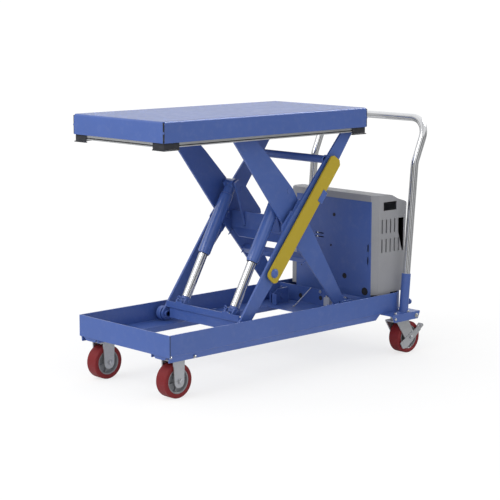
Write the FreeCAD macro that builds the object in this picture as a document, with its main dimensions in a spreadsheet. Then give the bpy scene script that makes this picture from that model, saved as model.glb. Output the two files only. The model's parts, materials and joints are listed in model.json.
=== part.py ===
# Battery powered scissor lift table on four casters, with the lift raised.
# Millimetres, +Z up, +X from the front of the deck to the push handle, left is +Y.
# Outlines measure x from the front edge of the deck; every piece is then moved by the
# cell frame_shift, so that the origin lies on the floor under the middle of the table.
import FreeCAD, Part
import Sketcher
import math
import os

Vector = FreeCAD.Vector
doc = FreeCAD.newDocument("LiftTable")

CELLS = [
    ("frame_shift", 725.0), ("deck_length", 1083.5), ("deck_width", 533.3),
    ("deck_top", 1042.0), ("deck_sheet", 5.0), ("skirt_height", 78.6),
    ("deck_bend", 6.0), ("arm_angle", 51.2), ("arm_half", 488.25),
    ("pivot_aft", 1034.0), ("pivot_low", 211.0), ("arm_sheet", 10.0),
    ("inner_face", 183.0), ("outer_face", 214.0), ("roller_radius", 29.5),
    ("roller_width", 24.0), ("track_gap", 0.5), ("pin_radius", 10.0),
    ("main_pin_radius", 12.5), ("running_gap", 0.05), ("cylinder_offset", 143.0),
    ("barrel_radius", 26.0), ("barrel_bore", 23.0), ("rod_radius", 18.5),
    ("barrel_length", 314.0), ("rod_pin_radius", 8.0), ("tube_radius", 16.0),
    ("tube_wall", 3.0), ("square_tube", 30.0), ("strut_width", 63.0),
    ("strut_sheet", 8.0), ("base_front", 18.0), ("base_width", 538.8),
    ("base_top", 255.0), ("base_sheet", 5.0), ("track_top", 181.0),
    ("base_rear", 1345.0), ("base_corner", 80.0), ("wheel_radius", 67.0),
    ("hub_radius", 49.0), ("wheel_width", 56.0), ("axle_radius", 7.0),
    ("front_axle_x", 92.0), ("front_caster_y", 209.0), ("rear_axle_x", 1308.0),
    ("swivel_x", 1262.0), ("rear_caster_y", 289.0), ("post_y", 291.0),
    ("post_radius", 16.0), ("post_wall", 2.0), ("socket_radius", 19.2),
    ("bar_height", 980.0), ("bar_x", 1434.0), ("bar_bend", 85.0),
    ("panel_x", 1157.0), ("panel_sheet", 3.0), ("panel_half", 229.0),
    ("panel_top", 645.0), ("cover_half", 250.0), ("cover_sheet", 4.0),
    ("button_radius", 11.0),
]
table = doc.addObject("Spreadsheet::Sheet", "Dims")
for row, (alias, value) in enumerate(CELLS, start=2):
    table.set("A%d" % row, alias)
    table.set("B%d" % row, str(value))
    table.setAlias("B%d" % row, alias)
doc.recompute()
dims = {alias: float(table.get(alias)) for alias, _ in CELLS}

GAP = dims["running_gap"]
SIDES = (("left", 1), ("right", -1))
PLANES = {"z": "XY_Plane", "y": "XZ_Plane", "x": "YZ_Plane"}
PIECES = []

# Scissor geometry: the arms cross at CENTRE; points are (x, z)
HALF_ARM = dims["arm_half"]
COS = math.cos(math.radians(dims["arm_angle"]))
SIN = math.sin(math.radians(dims["arm_angle"]))
PIVOT_X = dims["pivot_aft"]
PIVOT_LOW = (PIVOT_X, dims["pivot_low"])
PIVOT_HIGH = (PIVOT_X, dims["pivot_low"] + 2 * HALF_ARM * SIN)
CENTRE = (PIVOT_X - HALF_ARM * COS, dims["pivot_low"] + HALF_ARM * SIN)


def outer(along, off, *bend):
    """Point on the outer arms: along towards the top rear end, off to the lower rear."""
    return (CENTRE[0] + along * COS + off * SIN, CENTRE[1] + along * SIN - off * COS, *bend)


def inner(along, off, *bend):
    """Point on the inner arms: along towards the top front end, off to the upper rear."""
    return (CENTRE[0] - along * COS + off * SIN, CENTRE[1] + along * SIN + off * COS, *bend)


def placed(frame, points):
    return [frame(*point) for point in points]


# ------------------------------------------------------------------- outlines
def rect(x0, y0, x1, y1):
    return [(x0, y0), (x1, y0), (x1, y1), (x0, y1)]


def flipped(points):
    """Outline mirrored in its first coordinate, in reverse order."""
    return [(-y, z, *bend) for y, z, *bend in points[::-1]]


def circle(point, radius, expression=None):
    return ("circle", point[0], point[1], radius, expression)


def loose(alias):
    """Expression for a hole that runs freely on the radius in a cell."""
    return "Dims.%s + Dims.running_gap" % alias


def pin_hole(point, alias):
    return circle(point, dims[alias] + GAP, loose(alias))


def bend_points(before, corner, after, radius):
    """Start, middle and end of the arc that rounds a corner."""
    back = before - corner
    onward = after - corner
    back.normalize()
    onward.normalize()
    half = back.getAngle(onward) / 2
    reach = radius / math.tan(half)
    bisector = back + onward
    bisector.normalize()
    middle = corner + bisector * (radius / math.sin(half) - radius)
    return corner + back * reach, middle, corner + onward * reach


def outline_segments(points):
    """Lines and arcs of a closed outline; a point's third number is its bend radius."""
    corners = [Vector(point[0], point[1], 0) for point in points]
    count = len(points)
    turns = []
    for i, point in enumerate(points):
        if len(point) > 2:
            turns.append(bend_points(corners[i - 1], corners[i],
                                     corners[(i + 1) % count], point[2]))
        else:
            turns.append((corners[i], None, corners[i]))
    segments = []
    for i, (start, middle, end) in enumerate(turns):
        if middle is not None:
            segments.append(Part.Arc(start, middle, end))
        following = turns[(i + 1) % count][0]
        if (following - end).Length > 1e-5:
            segments.append(Part.LineSegment(end, following))
    return segments


# ------------------------------------------------------------- model building
def new_body(label):
    body = doc.addObject("PartDesign::Body", "Body_" + label)
    body.Label = label
    body.AllowCompound = True
    return body


def sketch_on(body, axis, offset, loops):
    sketch = body.newObject("Sketcher::SketchObject", "Sketch_" + body.Name)
    plane = [f for f in body.Origin.OriginFeatures if f.Role == PLANES[axis]][0]
    sketch.AttachmentSupport = [(plane, "")]
    sketch.MapMode = "FlatFace"
    sketch.AttachmentOffset = FreeCAD.Placement(Vector(0, 0, offset), FreeCAD.Rotation())
    for loop in loops:
        if loop[0] != "circle":
            for segment in outline_segments(loop):
                sketch.addGeometry(segment, False)
            continue
        _, x, y, radius, expression = loop
        edge = sketch.addGeometry(Part.Circle(Vector(x, y, 0), Vector(0, 0, 1), radius), False)
        index = sketch.addConstraint(Sketcher.Constraint("Radius", edge, radius))
        if expression:
            sketch.renameConstraint(index, "radius%d" % index)
            sketch.setExpression("Constraints.radius%d" % index, expression)
    return sketch


def slab(body, axis, start, end, loops, length=None, pocket=False):
    """Pad or pocket of an outline between two levels of one axis."""
    low, high = sorted((start, end))
    volume_before = body.Tip.Shape.Volume if pocket else None
    # The XZ plane faces -Y, so its slabs start at the high level.
    sketch = sketch_on(body, axis, -high if axis == "y" else low, loops)
    kind = "Pocket" if pocket else "Pad"
    feature = body.newObject("PartDesign::" + kind, kind + "_" + body.Name)
    feature.Profile = sketch
    feature.Length = high - low
    if length:
        feature.setExpression("Length", length)
    if pocket:
        feature.Reversed = True
    body.Tip = feature
    doc.recompute()
    if pocket and not feature.Shape.Volume < volume_before - 1e-3:
        raise RuntimeError("pocket %s removed nothing" % feature.Name)


def cyl(name, radius, start, axis, length):
    """Cylinder along a unit axis; the radius is a number or an expression."""
    obj = doc.addObject("Part::Cylinder", name)
    if isinstance(radius, str):
        obj.setExpression("Radius", radius)
    else:
        obj.Radius = radius
    obj.Height = length
    turn = FreeCAD.Rotation(Vector(0, 0, 1), Vector(*axis))
    obj.Placement = FreeCAD.Placement(Vector(*start), turn)
    return obj


def ycyl(name, radius, point, y0, y1):
    return cyl(name, radius, (point[0], min(y0, y1), point[1]), (0, 1, 0), abs(y1 - y0))


def box(name, x_range, y_range, z_range):
    obj = doc.addObject("Part::Box", name)
    ranges = (x_range, y_range, z_range)
    obj.Length, obj.Width, obj.Height = [high - low for low, high in ranges]
    obj.Placement = FreeCAD.Placement(Vector(*[low for low, _ in ranges]), FreeCAD.Rotation())
    return obj


def fuse(name, objects):
    obj = doc.addObject("Part::MultiFuse", name)
    obj.Shapes = objects
    return obj


def cut(name, base, tool):
    obj = doc.addObject("Part::Cut", name)
    obj.Base = base
    obj.Tool = tool
    return obj


def group(name, objects):
    """Compound; it also leaves the placement of a lone primitive alone."""
    obj = doc.addObject("Part::Compound", name)
    obj.Links = objects
    return obj


def turned(name, point, steps):
    """Fused cylinders along Y about one (x, z); steps are (radius, y0, y1)."""
    return fuse(name, [ycyl("%s_step%d" % (name, i), radius, point, y0, y1)
                       for i, (radius, y0, y1) in enumerate(steps)])


def piece(obj):
    """Mark an object for export under its label."""
    PIECES.append(obj)


def pair(label, *lefts):
    """Piece made of left-hand objects and their mirror images on the right."""
    links = []
    for left in lefts:
        mirror = doc.addObject("Part::Mirroring", left.Name + "_mirror")
        mirror.Source = left
        mirror.Base = Vector(0, 0, 0)
        mirror.Normal = Vector(0, 1, 0)
        links += [left, mirror]
    piece(group(label, links))


# ------------------------------------------------------------------- platform
DECK_TOP = dims["deck_top"]
DECK_SHEET = dims["deck_sheet"]
DECK_UNDER = DECK_TOP - DECK_SHEET
SKIRT_Z = DECK_TOP - dims["skirt_height"]
DECK_LENGTH = dims["deck_length"]
DECK_HALF = dims["deck_width"] / 2

# Deck: a tray open below, with rounded top edges and corners
deck = new_body("platform_deck")
slab(deck, "z", SKIRT_Z, DECK_TOP, [rect(0, -DECK_HALF, DECK_LENGTH, DECK_HALF)],
     "Dims.skirt_height")
slab(deck, "z", SKIRT_Z, DECK_UNDER,
     [rect(DECK_SHEET, -DECK_HALF + DECK_SHEET, DECK_LENGTH - DECK_SHEET, DECK_HALF - DECK_SHEET)],
     "Dims.skirt_height - Dims.deck_sheet", pocket=True)
bent_edges = []
for number, edge in enumerate(deck.Tip.Shape.Edges, start=1):
    bounds = edge.BoundBox
    on_top = bounds.ZMin > DECK_TOP - 0.01
    at_side = abs(abs(bounds.YMin) - DECK_HALF) < 0.01
    at_end = abs(bounds.XMin) < 0.01 or abs(bounds.XMin - DECK_LENGTH) < 0.01
    if on_top or (bounds.ZLength > 70 and at_side and at_end):
        bent_edges.append("Edge%d" % number)
deck_tray = deck.Tip
bends = deck.newObject("PartDesign::Fillet", "deck_bends")
bends.Base = (deck_tray, bent_edges)
bends.setExpression("Radius", "Dims.deck_bend")
deck.Tip = bends
piece(deck)

# Tubular roller tracks under the deck
track_z = PIVOT_HIGH[1] + dims["roller_radius"] + dims["track_gap"]
track = new_body("roller_track")
slab(track, "x", 25, 470, [rect(196, track_z, 224, DECK_UNDER),
                           rect(200, track_z + 5, 220, DECK_UNDER - 4)])
pair("platform_roller_tracks", track)

# Two lugs on each side for the outer arms' top pins
lug_bottom = PIVOT_HIGH[1] - 28
lug_outline = [(PIVOT_X - 40, DECK_UNDER), (PIVOT_X - 28, lug_bottom, 27),
               (PIVOT_X + 28, lug_bottom, 27), (PIVOT_X + 40, DECK_UNDER)]
deck_lug = new_body("deck_lug")
for y0, y1 in ((199.5, 207.5), (228, 236)):
    slab(deck_lug, "y", y0, y1, [lug_outline, pin_hole(PIVOT_HIGH, "pin_radius")])
pair("platform_pivot_lugs", deck_lug)
pair("platform_pivot_pins", turned("deck_pin", PIVOT_HIGH, [
    ("Dims.pin_radius", 197, 242), (15, 236.2, 242)]))

# Toe guard around the skirt: rails, and L shaped blocks in two layers at the corners
RAIL_INSET = 10.0
RAIL_SHEET = 4


def guard_rect(inset):
    return rect(inset, -DECK_HALF + inset, DECK_LENGTH - inset, DECK_HALF - inset)


rails = new_body("toe_guard_rails")
slab(rails, "z", SKIRT_Z - 18, SKIRT_Z + 10,
     [guard_rect(RAIL_INSET), guard_rect(RAIL_INSET + RAIL_SHEET)])
piece(rails)

BLOCK_LAYERS = [  # bottom and top below the skirt edge, outer and inner inset
    (25, 1, 6, 9.9),
    (29, 25, 2, 14),
]
BLOCK_REACH_X = 81
BLOCK_REACH_Y = 70
blocks = []
for end_name, end_x, inward in (("front", 0, 1), ("rear", DECK_LENGTH, -1)):
    block = new_body("toe_corner_" + end_name)
    for bottom, top, near, far in BLOCK_LAYERS:
        insets = [(near, near), (near, BLOCK_REACH_Y), (far, BLOCK_REACH_Y),
                  (far, far), (BLOCK_REACH_X, far), (BLOCK_REACH_X, near)]
        slab(block, "z", SKIRT_Z - bottom, SKIRT_Z - top,
             [[(end_x + inward * x, DECK_HALF - y) for x, y in insets]])
    blocks.append(block)
pair("toe_guard_corner_blocks", *blocks)

# ----------------------------------------------------------------- outer arms
OUTER_NEAR = dims["outer_face"]
OUTER_FAR = OUTER_NEAR + dims["arm_sheet"]
STRUT_BOLT = outer(-225, 0)
CENTRE_HOLE = pin_hole(CENTRE, "main_pin_radius")

# (along, off[, bend]) of one long edge; the other edge is its mirror image
arm_edge = [(-HALF_ARM - 24.5, -24.5, 24.4), (-440, -26), (0, -47), (440, -26),
            (HALF_ARM + 24.5, -24.5, 24.4)]
outer_outline = placed(outer, arm_edge + [(along, -off, *bend)
                                          for along, off, *bend in arm_edge[::-1]])
# Doubler plate on the inward face, around the centre pin
doubler_outline = placed(outer, [
    (-60, -46), (-46, -58, 6), (31, -55, 2), (35, -46, 2), (88, -48, 6), (97, -38, 6),
    (92, 38), (-60, 42)])

for side_name, side in SIDES:
    arm = new_body("outer_arm_" + side_name)
    loops = [outer_outline, CENTRE_HOLE, pin_hole(outer(HALF_ARM, 0), "pin_radius"),
             pin_hole(outer(-HALF_ARM, 0), "pin_radius")]
    if side_name == "right":
        loops.append(circle(STRUT_BOLT, 8.05))
    slab(arm, "y", side * OUTER_NEAR, side * OUTER_FAR, loops, "Dims.arm_sheet")
    slab(arm, "y", side * (OUTER_NEAR - 6), side * OUTER_NEAR, [doubler_outline, CENTRE_HOLE])
    if side_name == "right":
        # Block in the strut's notch, and its square cornered root beside the arm
        slab(arm, "y", -242, -OUTER_FAR, [placed(outer, [
            (133.5, 20.5), (185.5, 20.5), (185.5, 47, 2), (133.5, 47, 2)])])
        slab(arm, "y", -OUTER_FAR, -OUTER_FAR + 6, [placed(outer, rect(133.5, 20.5, 185.5, 47))])
    piece(arm)

# Crossbeam between the outer arms' low ends, with ears for the rod end pins
LOW_ROLLER = outer(-HALF_ARM, 0)
ROD_PIN = outer(-423.2, -10.1)
rod_x, rod_z = ROD_PIN
beam_x = PIVOT_X - 2 * HALF_ARM * COS + 2.0
EYE_Y = 137
beam = new_body("crossbeam_body")
slab(beam, "y", -200, 200, [[(beam_x, 198), (beam_x + 22, 198, 3), (beam_x + 22, 246, 3),
                             (beam_x, 246)]])
hump = [(157, 266), (150, 273, 4), (125, 273, 4), (118, 266)]  # y, z[, bend]
slab(beam, "x", beam_x - 6, beam_x,
     [[(-214, 241), (214, 241), (214, 266)] + hump + flipped(hump) + [(-214, 266)]])
ear_outline = [(beam_x, 246), (beam_x + 28, 246), (rod_x + 15, rod_z - 12, 10),
               (rod_x + 15, rod_z + 14, 12), (rod_x - 15, rod_z + 14, 12), (beam_x, 262)]
for y0, y1 in ((117, 123), (163, 169)):
    for side in (1, -1):
        slab(beam, "y", side * y0, side * y1, [ear_outline, pin_hole(ROD_PIN, "rod_pin_radius")])
# Ring eyes on stems above the humps
eyes = []
for side in (1, -1):
    ring = doc.addObject("Part::Torus", "eye_ring")
    ring.Radius1 = 7.0
    ring.Radius2 = 2.0
    ring.Placement = FreeCAD.Placement(Vector(beam_x - 3, side * EYE_Y, 288),
                                       FreeCAD.Rotation(Vector(0, 0, 1), Vector(1, 0, 0)))
    eyes += [ring, cyl("eye_stem", 2.5, (beam_x - 3, side * EYE_Y, 272), (0, 0, 1), 10)]
piece(fuse("crossbeam", [beam] + eyes))

# Round tube between the outer arms' upper halves
tube_centre = outer(298, -25.6)
piece(cut("upper_cross_tube",
          ycyl("cross_tube_solid", "Dims.tube_radius", tube_centre, -214, 214),
          ycyl("cross_tube_bore", "Dims.tube_radius - Dims.tube_wall", tube_centre, -214, 214)))

# Pins and bolts of the outer arms
pair("roller_axles_bottom", turned("axle_low", LOW_ROLLER, [
    ("Dims.pin_radius", 207, 255), (15, 207, 213.9)]))
pair("centre_pivot_pins", turned("centre_pin", CENTRE, [
    ("Dims.main_pin_radius", 176, 229.5), (19, 224.1, 229.5), (17, 176, 181.5)]))
piece(turned("strut_pivot_bolt", STRUT_BOLT, [
    (8, -209, -243), (13, -224.1, -231.8), (18.0, -240.3, -246.5), (9, -246.5, -249)]))
pair("rod_end_pins", ycyl("rod_pin", "Dims.rod_pin_radius", ROD_PIN, 114, 172))

# Safety strut outside the right arm, with a notch for the arm's block
strut_front = -26.0
strut_rear = strut_front + dims["strut_width"]
strut = new_body("safety_strut")
slab(strut, "y", -240, -232, [placed(outer, [
    (-256, strut_front, 22), (316, strut_front, 14), (327, strut_front + 12, 8),
    (330, strut_rear - 16, 8), (316, strut_rear, 10), (187, strut_rear), (187, 19.5),
    (132, 19.5), (132, strut_rear), (-246, strut_rear, 18), (-258, strut_rear - 12, 14)]),
    circle(STRUT_BOLT, 8.05)], "Dims.strut_sheet")
piece(strut)

# ----------------------------------------------------------------- inner arms
INNER_NEAR = dims["inner_face"]
INNER_FAR = INNER_NEAR + dims["arm_sheet"]
TRUNNION = inner(115.3, 70.8)
TOP_ROLLER = inner(HALF_ARM, 0)

inner_outline = placed(inner, [
    (-HALF_ARM - 27, -26.5, 26), (-430, -27), (0, -36), (430, -27),
    (HALF_ARM + 25, -26, 24), (HALF_ARM + 25, 25, 24), (420, 60), (287, 77.5), (110, 93),
    (-70, 72.7), (-435, 28.7), (-HALF_ARM - 27, 26.5, 26)])
for side_name, side in SIDES:
    arm = new_body("inner_arm_" + side_name)
    slab(arm, "y", side * INNER_NEAR, side * INNER_FAR,
         [inner_outline, CENTRE_HOLE, pin_hole(inner(-HALF_ARM, 0), "main_pin_radius"),
          pin_hole(TOP_ROLLER, "pin_radius")], "Dims.arm_sheet")
    # Round boss in line with the trunnion
    slab(arm, "y", side * INNER_FAR, side * (INNER_FAR + 2.5), [circle(TRUNNION, 11.0)])
    piece(arm)

# Lever plates inboard of the cylinders, each with a round boss
lever = new_body("lever_plate")
slab(lever, "y", 97, 107, [placed(inner, [
    (134, 60, 2), (130, 84, 10), (104, 96, 8), (-48, 97, 6), (-64, 90), (-64, -9.5),
    (-60.6, -10.2), (-46, -0.5), (-42, -7.8)])])
slab(lever, "y", 94.5, 97, [circle(inner(88, 70), 10.0)])
pair("lever_plates", lever)

# Folded channel between the inner arms, notched for the lever plates
channel = new_body("torsion_channel")
slab(channel, "y", -INNER_NEAR, INNER_NEAR, [placed(inner, [
    (5, 25), (-55, -14), (-62, -52), (-67.9, -50.9), (-60.43, -10.38), (1.73, 30.03)])],
    "2 * Dims.inner_face")
for side in (1, -1):
    slab(channel, "y", side * 96.9, side * 107.1,
         [placed(inner, [(-47, -12), (-47, 5), (10, 45), (10, -12)])], pocket=True)
piece(channel)


# Square tube between the inner arms' lower halves
def square(half, *bend):
    along, off = -181.0, -16.0
    return placed(inner, [
        (along - half, off - half, *bend), (along - half, off + half, *bend),
        (along + half, off + half, *bend), (along + half, off - half, *bend)])


half_tube = dims["square_tube"] / 2
square_tube = new_body("lower_cross_tube")
slab(square_tube, "y", -INNER_NEAR, INNER_NEAR,
     [square(half_tube, 4), square(half_tube - dims["tube_wall"])], "2 * Dims.inner_face")
piece(square_tube)

pair("roller_axles_top", turned("axle_top", TOP_ROLLER, [
    ("Dims.pin_radius", 176, 224), (15, 176, 182.9)]))

for place, point, near in (("bottom", LOW_ROLLER, 226.0), ("top", TOP_ROLLER, 196.0)):
    for side_name, side in SIDES:
        name = "roller_%s_%s" % (place, side_name)
        ends = (side * near, side * (near + dims["roller_width"]))
        piece(cut(name, ycyl(name + "_solid", "Dims.roller_radius", point, *ends),
                  ycyl(name + "_bore", loose("pin_radius"), point, *ends)))

# ------------------------------------------------------------- lift cylinders
BARREL_LENGTH = dims["barrel_length"]
stroke_axis = Vector(TRUNNION[0] - rod_x, 0, TRUNNION[1] - rod_z)
mouth = stroke_axis.Length - BARREL_LENGTH
stroke_axis.normalize()


def lift_cylinder(side_name, side):
    """Rod and barrel on the line from the rod end pin to the trunnion."""
    y = side * dims["cylinder_offset"]

    def along(name, radius, start, length):
        point = Vector(rod_x, y, rod_z) + stroke_axis * start
        return cyl(name + "_" + side_name, radius, point, stroke_axis, length)

    rod = fuse("rod_solid_" + side_name, [
        ycyl("rod_eye_" + side_name, 15, ROD_PIN, y - 17, y + 17),
        along("rod_neck", 18.4, 6, 12),
        along("rod_bar", "Dims.rod_radius", 18, 270),
        along("piston", "Dims.barrel_bore - Dims.running_gap", 266, 24)])
    eye_bore = ycyl("rod_eye_bore_" + side_name, loose("rod_pin_radius"), ROD_PIN, y - 20, y + 20)
    piece(cut("cylinder_rod_" + side_name, rod, eye_bore))

    barrel = fuse("barrel_solid_" + side_name, [
        along("barrel_tube", "Dims.barrel_radius", mouth, BARREL_LENGTH - 12),
        ycyl("trunnion_" + side_name, 20, TRUNNION, side * 110, side * 180)])
    hollow = fuse("barrel_hollow_" + side_name, [
        along("bore", "Dims.barrel_bore", mouth + 22, BARREL_LENGTH - 22 - 30),
        along("gland", loose("rod_radius"), mouth - 1, 30)])
    piece(cut("cylinder_barrel_" + side_name, barrel, hollow))


for side_name, side in SIDES:
    lift_cylinder(side_name, side)

# ----------------------------------------------------------------------- base
BASE_TOP = dims["base_top"]
BASE_SHEET = dims["base_sheet"]
BASE_HALF = dims["base_width"] / 2
BASE_REAR = dims["base_rear"]
BASE_CORNER = dims["base_corner"]
TRACK_TOP = dims["track_top"]
TRACK_UNDER = TRACK_TOP - BASE_SHEET
front_x = dims["base_front"]
behind_front = front_x + BASE_SHEET
frame_end = BASE_REAR - BASE_CORNER - 1.0
FRONT_PLATE_Z = 170.5

# Frame: two side rails with roller tracks, a front plate and a strip behind it
rail_profile = [  # y, z of the left rail
    (BASE_HALF, BASE_TOP), (BASE_HALF, 177), (BASE_HALF - 3.6, 173),
    (BASE_HALF - 7.4, 150), (BASE_HALF - 12.4, 150), (BASE_HALF - 8.6, 173.4),
    (BASE_HALF - 8, TRACK_UNDER), (164, TRACK_UNDER), (164, 157), (159, 157),
    (159, TRACK_TOP), (BASE_HALF - BASE_SHEET, TRACK_TOP), (BASE_HALF - BASE_SHEET, BASE_TOP)]
frame = new_body("base_frame")
slab(frame, "x", behind_front, frame_end, [rail_profile])
slab(frame, "x", front_x, behind_front, [rect(-BASE_HALF, FRONT_PLATE_Z, BASE_HALF, BASE_TOP)],
     "Dims.base_sheet")
slab(frame, "x", behind_front, frame_end, [flipped(rail_profile)])
slab(frame, "x", behind_front, 46, [rect(-159, FRONT_PLATE_Z, 159, TRACK_UNDER)])
# The lower flanges stop ahead of the rear casters
for side in (1, -1):
    slab(frame, "y", side * (BASE_HALF - 14), side * (BASE_HALF + 1),
         [[(1150, 140), (1183, TRACK_UNDER), (1300, TRACK_UNDER), (1300, 140)]], pocket=True)
piece(frame)

# Rear pan: floor, rim with rounded rear corners, and a cross plate with three holes
pan_x = frame_end + 0.1
floor_half = 158.8
floor_top = TRACK_TOP + 0.2
rim_half = BASE_HALF - BASE_SHEET
rim_rear = BASE_REAR - BASE_SHEET
rim_corner = BASE_CORNER - BASE_SHEET
pan_rear = [(pan_x, -BASE_HALF), (BASE_REAR, -BASE_HALF, BASE_CORNER),
            (BASE_REAR, BASE_HALF, BASE_CORNER), (pan_x, BASE_HALF)]
pan = new_body("base_rear_pan")
slab(pan, "z", TRACK_UNDER, TRACK_TOP,
     [[(940, -floor_half), (pan_x, -floor_half)] + pan_rear
      + [(pan_x, floor_half), (940, floor_half)]], "Dims.base_sheet")
slab(pan, "z", TRACK_TOP, BASE_TOP,
     [pan_rear + [(pan_x, rim_half), (rim_rear, rim_half, rim_corner),
                  (rim_rear, -rim_half, rim_corner), (pan_x, -rim_half)]])
slab(pan, "x", 1108, 1112, [
    [(-floor_half, TRACK_TOP), (floor_half, TRACK_TOP), (floor_half, floor_top),
     (264, floor_top), (264, 250), (-264, 250), (-264, floor_top), (-floor_half, floor_top)],
    circle((130, 211), 10), circle((10, 215), 10), circle((-110, 213), 10)])
piece(pan)

# Hollow brackets over the front casters, closed at the front
bracket_outline = [(164.4, TRACK_UNDER), (183, 156), (231, 156), (260, TRACK_UNDER)]
bracket_hollow = [(173, TRACK_UNDER - 4), (185, 160), (229, 160), (251, TRACK_UNDER - 4)]
bracket = new_body("caster_bracket")
slab(bracket, "x", behind_front, 150, [bracket_outline, bracket_hollow])
slab(bracket, "x", behind_front, behind_front + 5, [bracket_outline])
pair("front_caster_brackets", bracket)

# Lugs for the inner arms' low pins: a cross web and two cheeks on each side
base_lug = new_body("base_lug")
slab(base_lug, "x", PIVOT_X - 54, PIVOT_X - 48, [rect(149.5, TRACK_TOP, 176, 226)])
for y0, y1, cheek_front in ((168, 176, PIVOT_X - 54), (199, 207, PIVOT_X - 38)):
    slab(base_lug, "y", y0, y1, [
        [(cheek_front, TRACK_TOP), (PIVOT_X + 38, TRACK_TOP), (PIVOT_X + 38, 245, 4),
         (PIVOT_X - 24, 245, 4), (cheek_front, 226)],
        pin_hole(PIVOT_LOW, "main_pin_radius")])
pair("base_pivot_lugs", base_lug)
pair("base_pivot_pins", turned("base_pin", PIVOT_LOW, [
    ("Dims.main_pin_radius", 164, 212), (18, 207.1, 212)]))

# Outriggers over the rear casters: a flat plate with a drilled outer flange
OUTRIGGER_UNDER = TRACK_UNDER - 6
outrigger = new_body("outrigger")
slab(outrigger, "z", OUTRIGGER_UNDER, TRACK_UNDER,
     [[(1190, 165), (1190, 330), (1360, 330), (1360, 262), (1340, 165)]])
slab(outrigger, "y", 324, 330, [
    [(1190, OUTRIGGER_UNDER), (1202, 144, 3), (1348, 144, 3), (1360, OUTRIGGER_UNDER)],
    circle((1338, 158), 5), circle((1206, 158), 4)])
pair("outriggers", outrigger)

# Upright panel ahead of the power unit, with round holes and slots
PANEL_X = dims["panel_x"]
PANEL_HALF = dims["panel_half"]
PANEL_TOP = dims["panel_top"]
PANEL_HOLES = [  # y, z, radius
    (-18.0, 572.0, 8.0), (-1.0, 439.0, 5.0), (174.0, 332.0, 3.0), (-82.0, 317.0, 12.0),
    (-198.0, 265.0, 17.0)]
PANEL_SLOTS = [  # y, z of two opposite corners
    (42, 482, 92, 487), (42, 466, 92, 471), (-209, 434, -217, 464), (-209, 381, -217, 411)]
panel = new_body("bulkhead_panel")
slab(panel, "x", PANEL_X, PANEL_X + dims["panel_sheet"],
     [rect(-PANEL_HALF, TRACK_TOP, PANEL_HALF - 25, PANEL_TOP)]
     + [circle((y, z), radius) for y, z, radius in PANEL_HOLES]
     + [rect(*slot) for slot in PANEL_SLOTS], "Dims.panel_sheet")
piece(panel)

# ---------------------------------------------------------------- push handle
POST_Y = dims["post_y"]
POST_FOOT = Vector(1299.5, 0, 173.0)
POST_KNEE = Vector(1354.0, 0, 800.0)
post_axis = POST_KNEE - POST_FOOT
post_axis.normalize()


def on_post(distance, y):
    return POST_FOOT + post_axis * distance + Vector(0, y, 0)


def pipe(points, corner_bends, radius):
    """Round bar along a polyline whose inner corners are bent."""
    edges = []
    previous = points[0]
    for i, corner_bend in enumerate(corner_bends, start=1):
        start, middle, end = bend_points(points[i - 1], points[i], points[i + 1], corner_bend)
        edges.append(Part.LineSegment(previous, start).toShape())
        edges.append(Part.Arc(start, middle, end).toShape())
        previous = end
    edges.append(Part.LineSegment(previous, points[-1]).toShape())
    section = Part.Wire([Part.makeCircle(radius, points[0], points[1] - points[0])])
    return Part.Wire(edges).makePipeShell([section], True, True)


handle_points = [
    on_post(8, -POST_Y), POST_KNEE + Vector(0, -POST_Y, 0),
    Vector(dims["bar_x"], -POST_Y, dims["bar_height"]),
    Vector(dims["bar_x"], POST_Y, dims["bar_height"]),
    POST_KNEE + Vector(0, POST_Y, 0), on_post(8, POST_Y)]
handle_bends = [60, dims["bar_bend"], dims["bar_bend"], 60]
handle = doc.addObject("Part::Feature", "push_handle")
handle_solid = pipe(handle_points, handle_bends, dims["post_radius"])
handle_bore = pipe(handle_points, handle_bends, dims["post_radius"] - dims["post_wall"])
handle.Shape = handle_solid.cut(handle_bore)
piece(handle)

# Sockets around the feet of the posts, and bolts with round heads behind them
bolt_x = on_post(42, 0).x + dims["socket_radius"]
BOLT_Z = 213
sockets = []
clamps = []
for side_name, side in SIDES:
    y = side * POST_Y
    sockets.append(cut(
        "socket_" + side_name,
        cyl("socket_solid_" + side_name, "Dims.socket_radius", on_post(4.7, y), post_axis, 159),
        cyl("socket_bore_" + side_name, loose("post_radius"), on_post(4.6, y), post_axis, 160)))
    clamps.append(fuse("clamp_" + side_name, [
        cyl("clamp_stem_" + side_name, 5, (bolt_x + 0.5, y, BOLT_Z), (1, 0, 0), 9),
        cyl("clamp_head_" + side_name, 12, (bolt_x + 7, y, BOLT_Z), (1, 0, 0), 12)]))
piece(group("handle_sockets", sockets))
piece(group("handle_clamp_bolts", clamps))

# ---------------------------------------------------- power unit and its cover
COVER_HALF = dims["cover_half"]
COVER_SHEET = dims["cover_sheet"]
COVER_LOW = (1336, 250)    # x, z of the rear face at its foot
COVER_HIGH = (1355, 634)   # and at its top


def cover_solid(inset, bottom, label):
    """Common part of the cover's plan and side view, shrunk by the inset."""
    half = COVER_HALF - inset
    mouth_x = PANEL_X + dims["panel_sheet"] + 0.2
    mouth_half = PANEL_HALF - inset * 0.4
    plan = new_body(label + "_plan")
    slab(plan, "z", bottom, 690, [[
        (mouth_x, -mouth_half), (1184, -half), (1400, -half), (1400, half), (1184, half),
        (mouth_x, mouth_half)]])
    side_view = new_body(label + "_side")
    slab(side_view, "y", -half, half, [[
        (1100, 250), (COVER_LOW[0] - inset, COVER_LOW[1]),
        (COVER_HIGH[0] - inset, COVER_HIGH[1] - inset, 14), (1300, 650 - inset, 60),
        (1262, 668 - inset, 40), (1235, 672 - inset, 30), (1100, 672 - inset)]])
    solid = doc.addObject("Part::MultiCommon", label)
    solid.Shapes = [plan, side_view]
    return solid


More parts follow.
